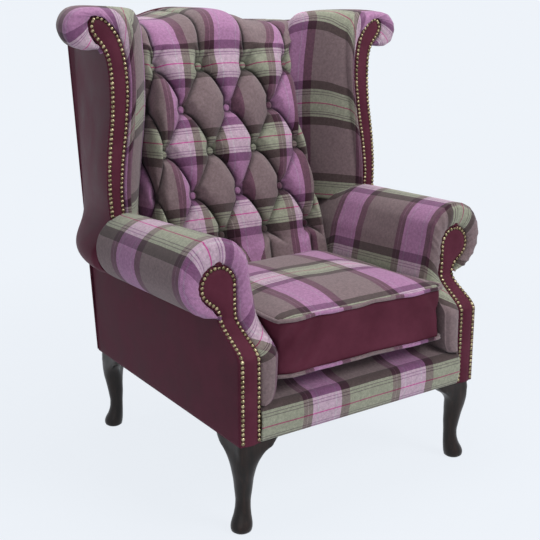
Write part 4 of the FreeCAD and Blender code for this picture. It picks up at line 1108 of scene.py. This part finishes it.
def leg_section(radius, ear, thickness, count):
    """Round at the ankle; at the knee two ears run back along the rails. Points as (x, y).

    The corner of the knee is towards -X and -Y. The outline blends a circle with an L of two
    rounded arms, by how far the ears are out.
    """
    a = np.arange(count) * tau / count
    circle = radius * np.stack([np.cos(a), np.sin(a)], 1)
    s = -0.85 * radius
    inside = s + thickness
    corner = [(ear, s), (ear * 0.4, s), (0.0, s), (-0.8 * radius, -0.8 * radius), (s, 0.0), (s, ear * 0.4),
              (s, ear), (s + thickness / 2, ear + 4.0), (inside, ear), (inside, ear * 0.55),
              (0.42 * radius, 0.42 * radius), (ear * 0.55, inside), (ear, inside),
              (ear + 4.0, s + thickness / 2), (ear, s)]
    shape = curve(corner, 6 * count)[:-1]
    turn = np.unwrap(np.arctan2(shape[:, 1], shape[:, 0]))
    start = np.argmin(np.abs(np.mod(turn + math.pi, tau) - math.pi))
    shape = np.roll(shape, -start, 0)
    area = np.sum(shape[:, 0] * np.roll(shape[:, 1], -1) - shape[:, 1] * np.roll(shape[:, 0], -1))
    if area < 0:
        shape = shape[::-1]
    shape = even(np.r_[shape, shape[:1]], count + 1)[:-1]
    return lerp(circle, shape, np.clip((ear - radius) / radius, 0, 1))


def cabriole_leg(name, foot, knee, outward):
    """A leg of sections from foot to knee, its toe to the given corner.

    Its levels give a share of the height, how far the centre stands out, the radius and how far
    the knee's ears reach, and a short running mean eases them.
    """
    levels = np.array([(0.0, 5.0, 18.0, 0.0), (0.008, 5.0, 22.0, 0.0), (0.05, 5.5, 25.0, 0.0),
                       (0.10, 4.0, 24.0, 0.0), (0.17, 0.5, 20.0, 0.0), (0.25, -1.5, 17.5, 0.0),
                       (0.34, -2.0, 17.0, 0.0), (0.46, -1.0, 20.0, 0.0), (0.58, 1.0, 22.5, 22.0),
                       (0.68, 2.5, 26.0, 28.0), (0.78, 3.0, 28.5, 38.0), (0.87, 2.0, 29.5, 51.0),
                       (0.95, 0.5, 29.5, 66.0), (1.0, 0.0, 29.5, 75.0)])
    count, thickness = 48, 30.0
    share = np.linspace(0, 1, 64)
    at = np.stack([np.interp(share, levels[:, 0], levels[:, k]) for k in range(1, 4)], 1)
    mean = np.array([1, 2, 3, 2, 1]) / 9.0
    padded = np.pad(at, ((2, 2), (0, 0)), "edge")
    eased = np.stack([np.convolve(padded[:, k], mean, "valid") for k in range(3)], 1)
    eased[:3] = at[:3]
    turned = -np.array(outward)
    lean = (np.array(knee) - foot) * turned
    rings = []
    for s, (out, radius, ear) in zip(share, eased):
        plan = (leg_section(radius, ear, thickness, count) - out + lean * s) * turned + foot
        rings.append(np.c_[plan, np.full(count, leg_height * s)])
    faces = grid_faces(len(rings), count, True)
    if outward[0] * outward[1] < 0:
        faces = faces[:, ::-1]
    thing = piece(name + "_turned", np.concatenate(rings), faces, dark_wood, slot="legs", nodes=(name,))
    last = count * (len(rings) - 1)
    join(thing.data, [range(count), range(last, last + count)])
    return thing


# Assembly of the pieces

buttoned_back()
back_buttons()
for side in (-1, 1):
    arm_cover(side)
    wing_cover(side)
    name = side_name(side)
    leather_facing(side, "arm_facing", arm_front, 3.5)
    leather_facing(side, "wing_facing", wing_front_line, 2.5)
    outside_arm_leather(side)
    outside_wing_leather(side)
    cabriole_leg(name + "_front_leg", (side * 325.0, 36.0), (side * 320.0, 31.0), (side, -1))
    cabriole_leg(name + "_rear_leg", (side * (side_line(716.0) - 26.0), 716.0), (side * 281.0, 727.0),
                 (side, 1))
outside_back_leather()
front_border()
deck_cover()
seat_cushion()
cushion_piping()


# Room: a plain pale floor, soft light, and the photograph's viewing angle

pale = (0.855, 0.896, 0.95, 1)


def seen_rays(nodes, first, *others):
    """1 for rays of any of the named kinds and 0 for others: the largest of their flags."""
    path = node(nodes, "LightPath")
    found = path.outputs["Is %s Ray" % first]
    for kind in others:
        found = node(nodes, "Math", found, path.outputs["Is %s Ray" % kind], operation="MAXIMUM")
    return found


def backdrop():
    """A pale floor that the camera sees as near white, and that keeps the object's shadow.

    Its share of glow over shading is a little less near the object and full further out.
    """
    size = 40.0
    mesh = bpy.data.meshes.new("floor")
    corners = [(-size, -size, 0), (size, -size, 0), (size, size, 0), (-size, size, 0)]
    mesh.from_pydata(corners, [], [(0, 1, 2, 3)])
    floor = bpy.data.objects.new("floor", mesh)
    bpy.context.scene.collection.objects.link(floor)
    material, nodes, main = shader("pale_floor", 0.9)
    main.inputs["Base Color"].default_value = (0.86, 0.88, 0.92, 1)
    glow = node(nodes, "Emission", in_0=pale)
    away = node(nodes, "VectorMath", own_place(nodes), operation="LENGTH")
    spread = node(nodes, "MapRange", away.outputs["Value"], interpolation_type="SMOOTHSTEP",
                  in_1=0.7, in_2=2.4, in_3=0.93, in_4=1.0)
    share = node(nodes, "Math", seen_rays(nodes, "Camera", "Glossy"), spread, operation="MULTIPLY")
    mix = node(nodes, "MixShader", share, main, glow)
    feed(mix, nodes["Material Output"].inputs[0])
    mesh.materials.append(material)


def studio():
    """An even pale world, a large key from the front right, a weak fill from the left and a top light."""
    world = bpy.data.worlds.new("studio")
    bpy.context.scene.world = world
    world.use_nodes = True
    nodes = world.node_tree.nodes
    ground = nodes["Background"]
    ground.inputs[0].default_value = (0.80, 0.84, 0.90, 1)
    ground.inputs[1].default_value = 0.30
    seen = node(nodes, "Background", in_0=pale, in_1=1.0)
    mix = node(nodes, "MixShader", seen_rays(nodes, "Camera", "Glossy", "Transmission"), ground, seen)
    feed(mix, nodes["World Output"].inputs[0])
    lamps = (("key", (1.1, -2.9, 2.9), 72.0, 1.5), ("fill", (-2.4, -2.2, 1.6), 10.0, 2.4),
             ("top", (0.1, 0.2, 3.2), 46.0, 1.5))
    for name, place, energy, size in lamps:
        lamp = bpy.data.lights.new(name, "AREA")
        lamp.energy = energy
        lamp.size = size
        thing = bpy.data.objects.new(name, lamp)
        bpy.context.scene.collection.objects.link(thing)
        thing.location = place
        across, ahead, up = np.array([0.0, 0.0, 0.55]) - np.array(place)
        thing.rotation_euler = (math.atan2(math.hypot(across, ahead), -up), 0.0, math.atan2(-across, ahead))


def camera():
    """The photograph's view, found from the chair's own square corners."""
    lens = bpy.data.cameras.new("camera")
    lens.lens = 63.37
    lens.sensor_width = 36.0
    thing = bpy.data.objects.new("camera", lens)
    bpy.context.scene.collection.objects.link(thing)
    thing.location = metres([-1380.4, -1537.1, 1070.7])
    thing.rotation_euler = (math.radians(90 - 14.2595), 0.0, math.radians(-35.7257))
    bpy.context.scene.camera = thing


backdrop()
studio()
camera()
bpy.context.scene.view_settings.view_transform = "Standard"
